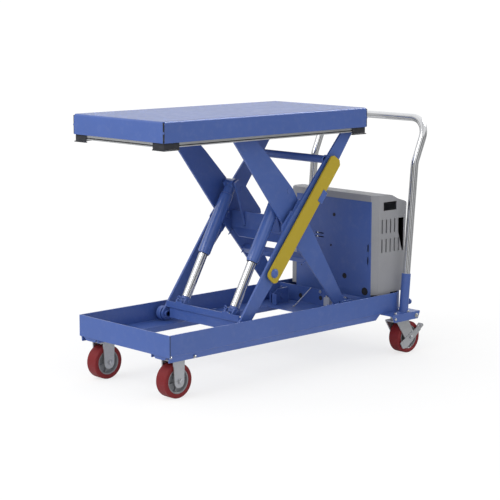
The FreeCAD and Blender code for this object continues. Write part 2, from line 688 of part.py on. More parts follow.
cover_outer = cover_solid(0, 250, "cover_outer")
across = (-260, 260)
mouth_y = (-PANEL_HALF + 6, PANEL_HALF - 6)
under_y = (-COVER_HALF + COVER_SHEET, COVER_HALF - COVER_SHEET)
cutters = [cover_solid(COVER_SHEET, 240, "cover_inner"),
           box("cover_step", (1258, 1400), (-300, 300), (240, 256.5)),
           box("cover_under", (1100, 1400), under_y, (240, 252)),
           box("cover_mouth", (1150, 1185), mouth_y, (240, PANEL_TOP + 2))]
VENT_PITCH = 25.8
VENT_HALF = 3.5
for row, vent_z in enumerate(((510, 568), (429, 486))):
    for column in range(6):
        vent_x = 1203.5 + column * VENT_PITCH
        cutters.append(box("vent_%d_%d" % (row, column),
                           (vent_x - VENT_HALF, vent_x + VENT_HALF), across, vent_z))
cutters.append(box("grip_side", (1210, 1292), across, (605, 641)))
cutters.append(box("grip_rear", (1320, 1370), (-41, 41), (590, 618)))
shell = cut("cover_shell", cover_outer, fuse("cover_cutters", cutters))
# Front rims above and to the left of the panel
rim_x = (1156.2, 1162)
rim_edge = PANEL_HALF - 0.6
rims = [box("cover_rim_top", rim_x, (-rim_edge, rim_edge), (PANEL_TOP + 0.2, 671.5)),
        box("cover_rim_side", rim_x, (PANEL_HALF - 24.8, rim_edge), (250, 671.5))]
piece(fuse("power_unit_cover", [shell] + rims))

piece(group("battery", [box("battery_case", (1185, 1325), (-225, -60), (TRACK_TOP, 345))]))
piece(group("oil_reservoir", [box("oil_tank", (1190, 1315), (-30, 210), (TRACK_TOP, 300))]))
piece(fuse("pump_motor", [
    box("pump_block", (1205, 1295), (30, 150), (300, 350)),
    cyl("motor_can", 52, (1250, 90, 350), (0, 0, 1), 170),
    cyl("motor_cap", 30, (1250, 90, 520), (0, 0, 1), 14)]))


# Control box on the sloping rear face of the cover, with two buttons
def cover_rear_x(z):
    """X just behind the cover's rear face at height z."""
    slope = (COVER_HIGH[0] - COVER_LOW[0]) / (COVER_HIGH[1] - COVER_LOW[1])
    return COVER_LOW[0] + (z - COVER_LOW[1]) * slope + 0.1


BOX_REAR = 1376
BUTTON_Y = 25
BUTTON_Z = 507
control_box = new_body("control_box")
slab(control_box, "y", -55, 55, [[(cover_rear_x(465), 465), (BOX_REAR, 465, 5),
                                  (BOX_REAR, 550, 5), (cover_rear_x(550), 550)]])
slab(control_box, "x", BOX_REAR - 10, BOX_REAR,
     [circle((y, BUTTON_Z), dims["button_radius"] + 0.1) for y in (BUTTON_Y, -BUTTON_Y)],
     pocket=True)
piece(control_box)
for name, y in (("button_up", BUTTON_Y), ("button_down", -BUTTON_Y)):
    piece(group(name, [cyl(name + "_cap", "Dims.button_radius", (BOX_REAR - 5, y, BUTTON_Z),
                           (1, 0, 0), 10)]))

# -------------------------------------------------------------------- casters
WHEEL_Z = dims["wheel_radius"]
FORK_NEAR = 30  # cheek faces from the middle of the wheel
FORK_FAR = 36

# Front forks: top plate, two cheeks and the axle with a head on its outboard end
front_x, front_y = dims["front_axle_x"], dims["front_caster_y"]
front_fork = new_body("front_fork")
slab(front_fork, "z", 150, 156, [rect(front_x - 50, front_y - 42, front_x + 50, front_y + 42)])
for way in (-1, 1):
    slab(front_fork, "y", front_y + way * FORK_NEAR, front_y + way * FORK_FAR,
         [[(front_x - 31, 150), (front_x - 25, WHEEL_Z - 24, 22),
           (front_x + 20, WHEEL_Z - 24, 22), (front_x + 24, 150)]])
front_axle = (front_x, WHEEL_Z)
pair("front_caster_forks", fuse("front_fork_and_axle", [
    front_fork,
    ycyl("front_axle_pin", "Dims.axle_radius", front_axle, front_y - 42, front_y + 42),
    ycyl("front_axle_head", 10, front_axle, front_y + 36, front_y + 42)]))

# Rear mounting plates with a round boss below
rear_x, rear_y, swivel_x = dims["rear_axle_x"], dims["rear_caster_y"], dims["swivel_x"]
rear_axle = (rear_x, WHEEL_Z)
rear_plate = new_body("rear_plate")
slab(rear_plate, "z", OUTRIGGER_UNDER - 6, OUTRIGGER_UNDER,
     [rect(swivel_x - 50, rear_y - 42, swivel_x + 50, rear_y + 34.9)])
slab(rear_plate, "z", 143.7, OUTRIGGER_UNDER - 6, [circle((swivel_x, rear_y), 28)])
pair("rear_caster_plates", rear_plate)

SWIVEL_Z = (137.5, 143.5)
cheek_outline = [
    (swivel_x - 34, SWIVEL_Z[0]), (rear_x - 24, WHEEL_Z - 14, 16),
    (rear_x - 6, WHEEL_Z - 24, 14), (rear_x + 22, WHEEL_Z - 18, 18),
    (rear_x + 24, WHEEL_Z + 14, 12), (swivel_x + 36, SWIVEL_Z[0])]
pedal_arm = [(1242, 52, 5), (1258, 24, 10), (1286, 27, 14), (1374, 95, 6), (1356, 113, 8),
             (1338, 101, 6)]
pedal_tread = [(1366, 105), (1371.5, 96.5), (1388, 108), (1382, 117)]
for side_name, side in SIDES:
    y = side * rear_y
    # Swivel fork: round and square top plates, two cheeks and the axle
    fork = new_body("swivel_" + side_name)
    slab(fork, "z", *SWIVEL_Z, [circle((swivel_x, y), 34)])
    slab(fork, "z", *SWIVEL_Z,
         [rect(swivel_x - 34, y - FORK_FAR, swivel_x + 36, y + FORK_FAR)])
    for way in (-1, 1):
        slab(fork, "y", y + way * FORK_NEAR, y + way * FORK_FAR, [cheek_outline])
    axle = ycyl("rear_axle_" + side_name, "Dims.axle_radius", rear_axle, y - 41, y + 41)
    piece(fuse("swivel_fork_" + side_name, [fork, axle]))
    # Brake pedal outboard of the fork
    pedal = new_body("brake_pedal_" + side_name)
    pedal_far = side * (rear_y + 39.6)
    slab(pedal, "y", side * (rear_y + 36.4), pedal_far,
         [pedal_arm, circle(rear_axle, dims["axle_radius"] + 0.05)])
    slab(pedal, "y", side * (rear_y + 16), pedal_far, [pedal_tread])
    piece(pedal)


def wheel(name, axle, y):
    """Hub dished on both faces around its boss, and a tyre with stepped edges."""
    half = dims["wheel_width"] / 2
    rim_half = half - 2
    hub = turned("hub_solid_" + name, axle, [
        ("Dims.hub_radius", y - rim_half, y + rim_half), (19, y - half - 1.5, y + half + 1.5)])
    hollows = []
    for face, way in (("left", 1), ("right", -1)):
        dish = "dish_%s_%s" % (name, face)
        ends = (y + way * 12, y + way * rim_half)
        hollows.insert(0, cut(dish, ycyl(dish + "_disc", 43, axle, *ends),
                              ycyl(dish + "_core", 19, axle, *ends)))
    hollows.append(ycyl("hub_bore_" + name, loose("axle_radius"), axle, y - 40, y + 40))
    piece(cut("wheel_hub_" + name, hub, fuse("hub_hollows_" + name, hollows)))
    tyre = turned("tyre_solid_" + name, axle, [
        ("Dims.wheel_radius", y - half + 6, y + half - 6),
        ("Dims.wheel_radius - 4", y - half, y + half)])
    tyre_bore = ycyl("tyre_bore_" + name, "Dims.hub_radius", axle, y - half, y + half)
    piece(cut("wheel_tyre_" + name, tyre, tyre_bore))


wheel("front_left", front_axle, front_y)
wheel("front_right", front_axle, -front_y)
wheel("rear_left", rear_axle, rear_y)
wheel("rear_right", rear_axle, -rear_y)

# --------------------------------------------------------------------- export
doc.recompute()
for obj in PIECES:
    obj.setExpression("Placement.Base.x", "-Dims.frame_shift")
doc.recompute()

failed = [obj.Name for obj in doc.Objects if "Invalid" in obj.State or "Error" in obj.State]
if failed:
    raise RuntimeError("objects failed: %s" % failed)
for obj in PIECES:
    if obj.Shape.isNull() or not obj.Shape.isValid() or not obj.Shape.Solids:
        raise RuntimeError("bad shape: " + obj.Label)
os.makedirs("parts", exist_ok=True)
for obj in PIECES:
    obj.Shape.exportStep(os.path.join("parts", obj.Label + ".step"))
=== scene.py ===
"""Scissor lift table on four casters, with two hydraulic cylinders and a push handle.

Sizes are in millimetres. x runs from the front (0) to the handle at the rear, z is up from
the floor and y runs across, with +y the side called left. X_MID sits on the scene's origin.
"""
import json
import math
import random

import bmesh
import bpy
from mathutils import Matrix, Vector, noise


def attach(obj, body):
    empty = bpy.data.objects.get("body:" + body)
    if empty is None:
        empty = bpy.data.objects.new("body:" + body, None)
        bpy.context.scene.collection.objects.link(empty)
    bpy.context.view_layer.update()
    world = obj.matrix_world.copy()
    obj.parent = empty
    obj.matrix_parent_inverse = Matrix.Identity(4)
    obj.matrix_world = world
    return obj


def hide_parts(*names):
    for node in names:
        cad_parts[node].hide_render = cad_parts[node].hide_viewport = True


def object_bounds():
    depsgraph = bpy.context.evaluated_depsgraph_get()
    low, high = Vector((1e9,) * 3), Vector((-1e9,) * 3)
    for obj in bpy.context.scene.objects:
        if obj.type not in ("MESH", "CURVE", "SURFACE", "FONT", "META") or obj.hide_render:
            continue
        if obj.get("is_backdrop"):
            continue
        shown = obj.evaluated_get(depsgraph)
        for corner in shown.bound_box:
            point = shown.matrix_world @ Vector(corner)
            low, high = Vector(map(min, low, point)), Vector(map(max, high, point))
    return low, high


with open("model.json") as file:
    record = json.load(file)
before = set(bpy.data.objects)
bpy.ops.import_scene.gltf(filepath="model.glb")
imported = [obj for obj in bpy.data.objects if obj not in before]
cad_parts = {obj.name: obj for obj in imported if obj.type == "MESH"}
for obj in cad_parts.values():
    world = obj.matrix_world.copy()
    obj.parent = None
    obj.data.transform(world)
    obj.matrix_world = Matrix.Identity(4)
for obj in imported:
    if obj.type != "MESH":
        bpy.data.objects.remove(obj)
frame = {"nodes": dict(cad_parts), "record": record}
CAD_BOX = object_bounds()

random.seed(7)
MM = 0.001
X_MID = 725.0
SIDES = (("left", 1), ("right", -1))  # name, sign of y


def point(x, y, z):
    """Scene position of a point in mm."""
    return Vector(((x - X_MID) * MM, y * MM, z * MM))


# ------------------------------------------------------- scissor layout, (x, z)
HALF_ARM = 488.25
ARM_TILT = math.radians(51.2)
TILT_COS, TILT_SIN = math.cos(ARM_TILT), math.sin(ARM_TILT)
BASE_PIVOT = (1034.0, 211.0)
CENTRE = (BASE_PIVOT[0] - HALF_ARM * TILT_COS, BASE_PIVOT[1] + HALF_ARM * TILT_SIN)
ROLLER_X = BASE_PIVOT[0] - 2 * HALF_ARM * TILT_COS
LOW_ROLLER = (ROLLER_X, BASE_PIVOT[1])
TOP_ROLLER = (ROLLER_X, BASE_PIVOT[1] + 2 * HALF_ARM * TILT_SIN)


def outer(along, off):
    """(x, z) on the outer arms: along rises to the rear, off points to the rear and down."""
    return (CENTRE[0] + along * TILT_COS + off * TILT_SIN,
            CENTRE[1] + along * TILT_SIN - off * TILT_COS)


def inner(along, off):
    """(x, z) on the inner arms: along rises to the front, off points to the rear and up."""
    return (CENTRE[0] - along * TILT_COS + off * TILT_SIN,
            CENTRE[1] + along * TILT_SIN + off * TILT_COS)


def on_arm(arm, rows):
    """Corners (x, z, radius) from rows of (along, off, radius)."""
    return [arm(along, off) + (radius,) for along, off, radius in rows]


def across(spot, y):
    """(x, y, z) of an (x, z) spot."""
    return (spot[0], y, spot[1])


ROD_PIN = outer(-423.2, -10.1)
TRUNNION = inner(115.3, 70.8)
REACH = math.hypot(TRUNNION[0] - ROD_PIN[0], TRUNNION[1] - ROD_PIN[1])
RAM_X, RAM_Z = (TRUNNION[0] - ROD_PIN[0]) / REACH, (TRUNNION[1] - ROD_PIN[1]) / REACH


# ------------------------------------------------------------------ materials
class Nodes:
    """Short calls that build the node tree of a material or world."""

    def __init__(self, owner, output):
        owner.use_nodes = True
        self.tree = owner.node_tree
        self.tree.nodes.clear()
        self.output = self.add(output)

    def add(self, kind, inputs=(), **settings):
        node = self.tree.nodes.new("ShaderNode" + kind)
        for key, value in settings.items():
            setattr(node, key, value)
        self.set(node, dict(inputs))
        return node

    def set(self, node, inputs):
        """Link sockets and store plain values; three-part colours get an alpha of 1."""
        for key, value in inputs.items():
            socket = node.inputs[key]
            if isinstance(value, bpy.types.NodeSocket):
                self.tree.links.new(value, socket)
            elif isinstance(value, tuple):
                socket.default_value = (*value, 1)[:len(socket.default_value)]
            else:
                socket.default_value = value

    def coords(self, scale=(1, 1, 1)):
        source = self.add("TexCoord").outputs["Object"]
        return self.add("Mapping", {"Scale": scale, "Vector": source}).outputs[0]

    def noise(self, vector, scale, detail=4, rough=0.55):
        return self.add("TexNoise", {"Scale": scale, "Detail": detail, "Roughness": rough,
                                     "Vector": vector}).outputs["Fac"]

    def remap(self, value, span, to=(0.0, 1.0)):
        return self.add("MapRange", {1: span[0], 2: span[1], 3: to[0], 4: to[1],
                                     0: value}).outputs[0]

    def mix(self, factor, first, second):
        return self.add("Mix", {0: factor, 6: first, 7: second}, data_type="RGBA").outputs[2]

    def mix_shader(self, factor, first, second):
        return self.add("MixShader", {0: factor, 1: first, 2: second}).outputs[0]

    def math(self, operation, first, second=None):
        inputs = {0: first} if second is None else {0: first, 1: second}
        return self.add("Math", inputs, operation=operation).outputs[0]

    def multiply(self, first, second):
        return self.math("MULTIPLY", first, second)

    def wave(self, angle, count, shift):
        """Sine with a number of crests per turn."""
        return self.math("SINE", self.math("ADD", self.multiply(angle, count), shift))

    def edge_mask(self, radius):
        """1 on edges and 0 on flats, from how far a bevelled normal leans."""
        bevel = self.add("Bevel", {"Radius": radius}, samples=3)
        geometry = self.add("NewGeometry")
        lean = self.add("VectorMath", {0: bevel.outputs[0], 1: geometry.outputs["Normal"]},
                        operation="DOT_PRODUCT")
        return self.remap(lean.outputs["Value"], span=(1.0, 0.86))

    def mottled(self, pattern, base, low, high):
        """Base colour drifting between two brightness factors."""
        return self.mix(self.remap(pattern, span=(0.3, 0.7)),
                        scaled(base, low), scaled(base, high))

    def patchy(self, color, pattern, span, amount, tint):
        """Tint laid over a colour in soft patches."""
        return self.mix(self.multiply(self.remap(pattern, span), amount), color, tint)

    def worn(self, color, vector, wear, amount, radius, scale, detail, span):
        """Broken wear colour along the edges."""
        edges = self.edge_mask(radius)
        breaks = self.noise(vector, scale, detail, rough=0.7)
        mask = self.multiply(edges, self.remap(breaks, span))
        return self.mix(self.multiply(mask, amount), color, wear)

    def bump(self, surface, height, strength, distance):
        node = self.add("Bump", {"Strength": strength, "Distance": distance, "Height": height})
        self.set(surface, {"Normal": node.outputs[0]})


def scaled(color, factor):
    return tuple(v * factor for v in color)


def new_surface(name):
    material = bpy.data.materials.new(name)
    nodes = Nodes(material, "OutputMaterial")
    surface = nodes.add("BsdfPrincipled")
    nodes.set(nodes.output, {0: surface.outputs[0]})
    return material, nodes, surface


def painted(name, base, rough, wear=(0.55, 0.6, 0.72), wear_amount=0.22, coat=0.15,
            dust=0.05, specular=0.5):
    """Paint with a thin dust film, worn edges, faint scratches and orange peel."""
    material, nodes, surface = new_surface(name)
    vector = nodes.coords()
    broad = nodes.noise(vector, scale=3.5, detail=3)
    patches = nodes.noise(vector, scale=38, detail=5, rough=0.6)
    color = nodes.mottled(broad, base, low=0.955, high=1.05)
    color = nodes.patchy(color, patches, span=(0.5, 0.78), amount=dust, tint=(0.45, 0.46, 0.5))
    color = nodes.worn(color, vector, wear, wear_amount, radius=0.002, scale=160, detail=6,
                       span=(0.42, 0.72))
    scratches = nodes.noise(nodes.coords(scale=(14, 160, 160)), scale=6, detail=3, rough=0.5)
    gloss = nodes.remap(patches, span=(0.3, 0.75), to=(rough - 0.035, rough + 0.06))
    gloss = nodes.math("ADD", gloss, nodes.remap(scratches, span=(0.62, 0.8), to=(0.0, 0.05)))
    nodes.set(surface, {"Base Color": color, "Roughness": gloss, "Coat Weight": coat,
                        "Specular IOR Level": specular, "Coat Roughness": 0.22})
    peel = nodes.noise(vector, scale=700, detail=2, rough=0.5)
    nodes.bump(surface, peel, strength=0.09, distance=0.0006)
    return material


def metal(name, base, rough, brushed=None, spread=0.06, spangle=False, dirt=0.1,
          metallic=1.0, grain=0.05):
    """Metal with grime patches; brushed is the coordinate scale of its brush lines."""
    material, nodes, surface = new_surface(name)
    vector = nodes.coords()
    broad = nodes.noise(vector, scale=12)
    color = nodes.mottled(broad, base, low=0.92, high=1.04)
    if spangle:
        cells = nodes.add("TexVoronoi", {"Scale": 150, "Vector": vector})
        grey = nodes.add("RGBToBW", {0: cells.outputs["Color"]}).outputs[0]
        color = nodes.mix(nodes.remap(grey, span=(0.2, 0.8), to=(0, 0.35)),
                          color, scaled(base, 1.25))
        gloss = nodes.remap(grey, span=(0.2, 0.8), to=(rough - 0.06, rough + 0.08))
    else:
        gloss = nodes.remap(broad, span=(0.3, 0.7),
                            to=(rough - spread * 0.5, rough + spread * 0.5))
    grime = nodes.noise(vector, scale=55, detail=6, rough=0.65)
    color = nodes.patchy(color, grime, span=(0.55, 0.8), amount=dirt, tint=(0.16, 0.15, 0.14))
    nodes.set(surface, {"Metallic": metallic, "Base Color": color, "Roughness": gloss})
    if brushed:
        lines = nodes.noise(nodes.coords(brushed), scale=8, detail=3, rough=0.6)
        nodes.bump(surface, lines, strength=0.12, distance=0.0004)
    elif grain > 0:
        fine = nodes.noise(vector, scale=420, detail=3, rough=0.6)
        nodes.bump(surface, fine, strength=grain, distance=0.0004)
    return material


def polymer(name, base, rough=0.45, grain=900, grain_strength=0.15, dust=0.08,
            wear=None, wear_amount=0.2, specular=0.5):
    """Grained plastic or rubber with dust patches; grain is the scale of its texture."""
    material, nodes, surface = new_surface(name)
    vector = nodes.coords()
    broad = nodes.noise(vector, scale=5)
    color = nodes.mottled(broad, base, low=0.93, high=1.06)
    patches = nodes.noise(vector, scale=60, detail=5, rough=0.65)
    color = nodes.patchy(color, patches, span=(0.5, 0.8), amount=dust, tint=(0.5, 0.5, 0.5))
    if wear:
        color = nodes.worn(color, vector, wear, wear_amount, radius=0.003, scale=200,
                           detail=5, span=(0.4, 0.7))
    gloss = nodes.remap(patches, span=(0.3, 0.75), to=(rough - 0.05, rough + 0.07))
    nodes.set(surface, {"Base Color": color, "Roughness": gloss,
                        "Specular IOR Level": specular})
    texture = nodes.noise(vector, scale=grain, detail=2, rough=0.5)
    nodes.bump(surface, texture, strength=grain_strength, distance=0.0006)
    return material


BLUE = painted("paint_blue", (0.056, 0.112, 0.355), rough=0.36)
GLOSS_BLUE = painted("paint_blue_gloss", (0.06, 0.12, 0.37), rough=0.17, coat=0.6,
                     wear_amount=0.1, dust=0.02)
YELLOW = painted("paint_yellow", (0.43, 0.32, 0.02), rough=0.45, wear=(0.3, 0.25, 0.12),
                 wear_amount=0.25, coat=0.0, dust=0.015, specular=0.3)
CHROME = metal("hard_chrome", (0.80, 0.81, 0.83), rough=0.12, spread=0.03, dirt=0.03, grain=0)
STEEL = metal("zinc_bolt", (0.62, 0.62, 0.61), rough=0.3, spread=0.1, dirt=0.12)
GALVANISED = metal("galvanised_steel", (0.46, 0.47, 0.49), rough=0.38, spangle=True,
                   dirt=0.08, metallic=0.85)
ALUMINIUM = metal("aluminium_extrusion", (0.72, 0.73, 0.74), rough=0.36,
                  brushed=(4, 500, 500), spread=0.06, dirt=0.06, metallic=0.9)
HUB = metal("cast_hub", (0.25, 0.255, 0.27), rough=0.5, spread=0.12, dirt=0.2, metallic=0.15)
BLACK = polymer("black_moulding", (0.022, 0.023, 0.03), rough=0.5, grain_strength=0.2,
                dust=0.05)
TYRE = polymer("tyre_red_urethane", (0.185, 0.014, 0.017), rough=0.5, grain=500,
               grain_strength=0.1, dust=0.02, wear=(0.33, 0.12, 0.12), wear_amount=0.15,
               specular=0.25)
COVER = polymer("cover_grey", (0.29, 0.293, 0.312), rough=0.5, grain=1100,
                grain_strength=0.22, dust=0.06, wear=(0.4, 0.4, 0.4))
MOTOR = painted("motor_black", (0.02, 0.021, 0.024), rough=0.45, wear=(0.3, 0.3, 0.3),
                dust=0.12)
GREEN = polymer("button_green", (0.02, 0.22, 0.055), rough=0.28, grain_strength=0.05)
RED = polymer("button_red", (0.35, 0.015, 0.02), rough=0.28, grain_strength=0.05)
RUBBER = polymer("hose_rubber", (0.02, 0.02, 0.022), rough=0.55, grain=400,
                 grain_strength=0.25)
LIGHT_GREY = polymer("light_sleeve", (0.42, 0.44, 0.5), rough=0.4)
# near-black stand-in for the shade inside seams, slits and holes: painted shade
PAINTED_SHADE = polymer("seam_shadow", (0.012, 0.013, 0.02), rough=0.8, grain_strength=0.05)

MATERIAL_OF_SLOT = {
    "deck_blue": BLUE, "safety_yellow": YELLOW, "bright_steel": STEEL, "hard_chrome": CHROME,
    "aluminium_trim": ALUMINIUM, "black_plastic": BLACK, "roller_steel": BLUE,
    "galvanised": GALVANISED, "hub_grey": HUB, "tyre_red": TYRE, "cover_grey": COVER,
    "motor_paint": MOTOR, "button_green": GREEN, "button_red": RED}
SLOT_OF_NODE = {part["node"]: part["material_slot"] for part in frame["record"]["subparts"]}
BODY_OF_NODE = {node: body for body, nodes in frame["record"]["behaviour"]["bodies"].items()
                for node in nodes}


# ------------------------------------------------------------- mesh finishing
def clean_mesh(mesh, angle, merge=1e-6, merge_flats=False):
    """Merge doubles and shade smooth, with sharp edges beyond an angle in degrees."""
    bm = bmesh.new()
    bm.from_mesh(mesh)
    bmesh.ops.remove_doubles(bm, verts=bm.verts, dist=merge)
    bmesh.ops.dissolve_degenerate(bm, edges=bm.edges, dist=1e-7)
    if merge_flats:
        bmesh.ops.dissolve_limit(bm, angle_limit=math.radians(0.6), verts=bm.verts,
                                 edges=bm.edges, use_dissolve_boundaries=False)
    bmesh.ops.recalc_face_normals(bm, faces=bm.faces)
    for face in bm.faces:
        face.smooth = True
        face.material_index = 0
    limit = math.radians(angle)
    for edge in bm.edges:
        edge.smooth = len(edge.link_faces) == 2 and edge.calc_face_angle(0) < limit
    bm.to_mesh(mesh)
    bm.free()


def add_weighted_normals(obj):
    obj.modifiers.new("wn", "WEIGHTED_NORMAL").keep_sharp = True


def add_bevel(obj, name, width, seg=2, angle=None):
    bevel = obj.modifiers.new(name, "BEVEL")
    bevel.width = width
    bevel.segments = seg
    bevel.limit_method = "ANGLE"
    if angle:
        bevel.angle_limit = math.radians(angle)
    return bevel


def finish_mesh(obj, angle=33.0):
    clean_mesh(obj.data, angle)
    add_weighted_normals(obj)
    return obj


def link_object(name, mesh):
    obj = bpy.data.objects.new(name, mesh)
    bpy.context.scene.collection.objects.link(obj)
    return obj


def object_from_bmesh(bm, name, material):
    mesh = bpy.data.meshes.new(name)
    bm.to_mesh(mesh)
    bm.free()
    obj = link_object(name, mesh)
    mesh.materials.append(material)
    return obj


def place(obj, body, *nodes):
    """Hang an object on a body and the CAD parts it stands for."""
    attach(obj, body)
    if nodes:
        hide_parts(*nodes)


def if_left(sign, node):
    """A CAD part that covers both sides is handed to the left object only."""
    return [node] if sign > 0 else []


def apply_modifiers(obj):
    depsgraph = bpy.context.evaluated_depsgraph_get()
    depsgraph.update()
    mesh = bpy.data.meshes.new_from_object(obj.evaluated_get(depsgraph))
    obj.modifiers.clear()
    obj.data = mesh
    mesh.name = obj.name


def subtract(obj, cutter):
    obj.modifiers.clear()
    cut = obj.modifiers.new("bool", "BOOLEAN")
    cut.operation = "DIFFERENCE"
    cut.solver = "EXACT"
    cut.object = cutter
    apply_modifiers(obj)
    bpy.data.objects.remove(cutter)


# ----------------------------------------------------------- outlines (in mm)
def turn_angles(count):
    """Angles of a full turn, first and last alike."""
    return [2 * math.pi * k / count for k in range(count + 1)]


def quarter_angles(count):
    return [math.pi / 2 * k / count for k in range(count + 1)]


def circle(cx, cy, radius, count=40):
    return [(cx + radius * math.cos(t), cy + radius * math.sin(t))
            for t in turn_angles(count)[:-1]]


def rounded(corners, seg=3, closed=True):
    """Dense outline of (a, b) or (a, b, radius) corners; seg is steps per quarter turn."""
    out = []
    count = len(corners)
    for i, corner in enumerate(corners):
        radius = corner[2] if len(corner) > 2 else 0.0
        if radius <= 0 or (not closed and i in (0, count - 1)):
            out.append((corner[0], corner[1]))
            continue
        tip = Vector(corner[:2])
        back = Vector(corners[i - 1][:2]) - tip
        ahead = Vector(corners[(i + 1) % count][:2]) - tip
        room = (back.length * 0.499, ahead.length * 0.499)
        back.normalize()
        ahead.normalize()
        angle = back.angle(ahead)
        if angle > math.pi - 0.02:
            out.append((corner[0], corner[1]))
            continue
        trim = min(radius / math.tan(angle / 2), *room)
        fitted = trim * math.tan(angle / 2)
        middle = tip + (back + ahead).normalized() * (fitted / math.sin(angle / 2))
        first = tip + back * trim - middle
        last = tip + ahead * trim - middle
        sweep_angle = first.angle(last)
        turn = 1 if first.x * last.y - first.y * last.x > 0 else -1
        steps = max(2, int(math.ceil(seg * sweep_angle / (math.pi / 2))))
        for j in range(steps + 1):
            t = sweep_angle * j / steps * turn
            out.append((middle.x + first.x * math.cos(t) - first.y * math.sin(t),
                        middle.y + first.x * math.sin(t) + first.y * math.cos(t)))
    clean = [out[0]]
    for spot in out[1:]:
        if (Vector(spot) - Vector(clean[-1])).length > 1e-4:
            clean.append(spot)
    if closed and (Vector(clean[0]) - Vector(clean[-1])).length < 1e-4:
        clean.pop()
    return clean


def disc(radius, top, edge, base=0):
    """Lathe profile of a solid disc with softened edges."""
    return rounded([(0, base, edge), (radius, base, edge), (radius, top, edge),
                    (0, top, edge)], closed=False)


def ring(bore, radius, base, top, edge):
    """Closed lathe profile of a ring with softened edges."""
    return rounded([(bore, base, edge), (radius, base, edge), (radius, top, edge),
                    (bore, top, edge)])


def mirrored(half):
    """Profile rows (radius, height, corner) followed by their mirror about height 0."""
    return half + [(r, -h, corner) for r, h, corner in reversed(half)]


# -------------------------------------------------------------- solid builders
CURVE_SCALE = 0.01  # plates are filled as curves at this scale


def plate(name, loops, ys, material, bevel=0.8, bevel_seg=2):
    """Plate with holes and softened edges: (x, z) loops swept between two y levels."""
    low, high = sorted(ys)
    curve = bpy.data.curves.new(name, "CURVE")
    curve.dimensions = "2D"
    curve.fill_mode = "BOTH"
    bevel = min(bevel, (high - low) * 0.45)
    curve.extrude = (high - low) / 2 - bevel
    curve.bevel_depth = bevel
    curve.bevel_resolution = bevel_seg
    curve.offset = -bevel
    for loop in loops:
        spline = curve.splines.new("POLY")
        spline.points.add(len(loop) - 1)
        for i, p in enumerate(loop):
            spline.points[i].co = (p[0] * CURVE_SCALE, p[1] * CURVE_SCALE, 0, 1)
        spline.use_cyclic_u = True
    curve.extrude *= CURVE_SCALE
    curve.bevel_depth *= CURVE_SCALE
    curve.offset *= CURVE_SCALE
    holder = link_object(name + "_c", curve)
    depsgraph = bpy.context.evaluated_depsgraph_get()
    mesh = bpy.data.meshes.new_from_object(holder.evaluated_get(depsgraph))
    bpy.data.objects.remove(holder)
    bpy.data.curves.remove(curve)
    middle = (low + high) / 2
    for v in mesh.vertices:
        v.co = point(v.co.x * 100, middle + v.co.z * 100, v.co.y * 100)
    mesh.name = name
    obj = link_object(name, mesh)
    mesh.materials.clear()
    mesh.materials.append(material)
    return finish_mesh(obj)


def axes_around(direction):
    """Two unit vectors square to a direction, and the direction itself."""
    direction = direction.normalized()
    up = Vector((0, 0, 1)) if abs(direction.z) < 0.9 else Vector((0, 1, 0))
    side = direction.cross(up).normalized()
    return side, direction.cross(side).normalized(), direction


def lathe(name, profile, origin, axis, material, seg=72, angle=33.0, closed=False):
    """Revolve (radius, height) pairs in mm about an axis through a scene point."""
    u, v, direction = axes_around(Vector(axis))
    bm = bmesh.new()
    rings = []
    for radius, height in profile:
        middle = origin + direction * (height * MM)
        if radius < 1e-6:
            rings.append([bm.verts.new(middle)])
        else:
            rings.append([bm.verts.new(middle + (u * math.cos(t) + v * math.sin(t))
                                       * (radius * MM)) for t in turn_angles(seg)[:-1]])
    pairs = list(zip(rings, rings[1:]))
    if closed:
        pairs.append((rings[-1], rings[0]))
    for a, b in pairs:
        if len(a) == 1 and len(b) == 1:
            continue
        for i in range(seg):
            j = (i + 1) % seg
            if len(a) == 1:
                bm.faces.new((a[0], b[i], b[j]))
            elif len(b) == 1:
                bm.faces.new((a[i], b[0], a[j]))
            else:
                bm.faces.new((a[i], b[i], b[j], a[j]))
    if not closed:
        for end in (rings[0], rings[-1]):
            if len(end) > 1:
                bm.faces.new(end)
    return finish_mesh(object_from_bmesh(bm, name, material), angle)


def bent_path(corners, radii, step=4.0):
    """Dense centre line in mm of a polyline with bend radii."""
    out = [corners[0]]
    for i in range(1, len(corners) - 1):
        tip = corners[i]
        back = (corners[i - 1] - tip).normalized()
        ahead = (corners[i + 1] - tip).normalized()
        angle = back.angle(ahead)
        radius = radii[i]
        trim = radius / math.tan(angle / 2)
        middle = tip + (back + ahead).normalized() * (radius / math.sin(angle / 2))
        first = tip + back * trim - middle
        last = tip + ahead * trim - middle
        axis = first.cross(last).normalized()
        bend = first.angle(last)
        steps = max(4, int(radius * bend / step))
        for j in range(steps + 1):
            out.append(middle + Matrix.Rotation(bend * j / steps, 3, axis) @ first)
    out.append(corners[-1])
    dense = [out[0]]
    for spot in out[1:]:
        start = dense[-1]
        gap = (spot - start).length
        if gap > 60:
            count = int(gap / 40)
            for j in range(1, count):
                dense.append(start.lerp(spot, j / count))
        dense.append(spot)
    return dense


def smooth_path(corners):
    """Catmull-Rom curve in mm through the given points, about 5 mm a step."""
    knots = [Vector(p) for p in corners]
    out = []
    for i in range(len(knots) - 1):
        p0, p1 = knots[max(i - 1, 0)], knots[i]
        p2, p3 = knots[i + 1], knots[min(i + 2, len(knots) - 1)]
        steps = max(4, int((p2 - p1).length / 5))
        for k in range(steps):
            t = k / steps
            out.append(0.5 * ((2 * p1) + (p2 - p0) * t
                              + (2 * p0 - 5 * p1 + 4 * p2 - p3) * t * t
                              + (3 * p1 - p0 - 3 * p2 + p3) * t * t * t))
    out.append(knots[-1])
    return out


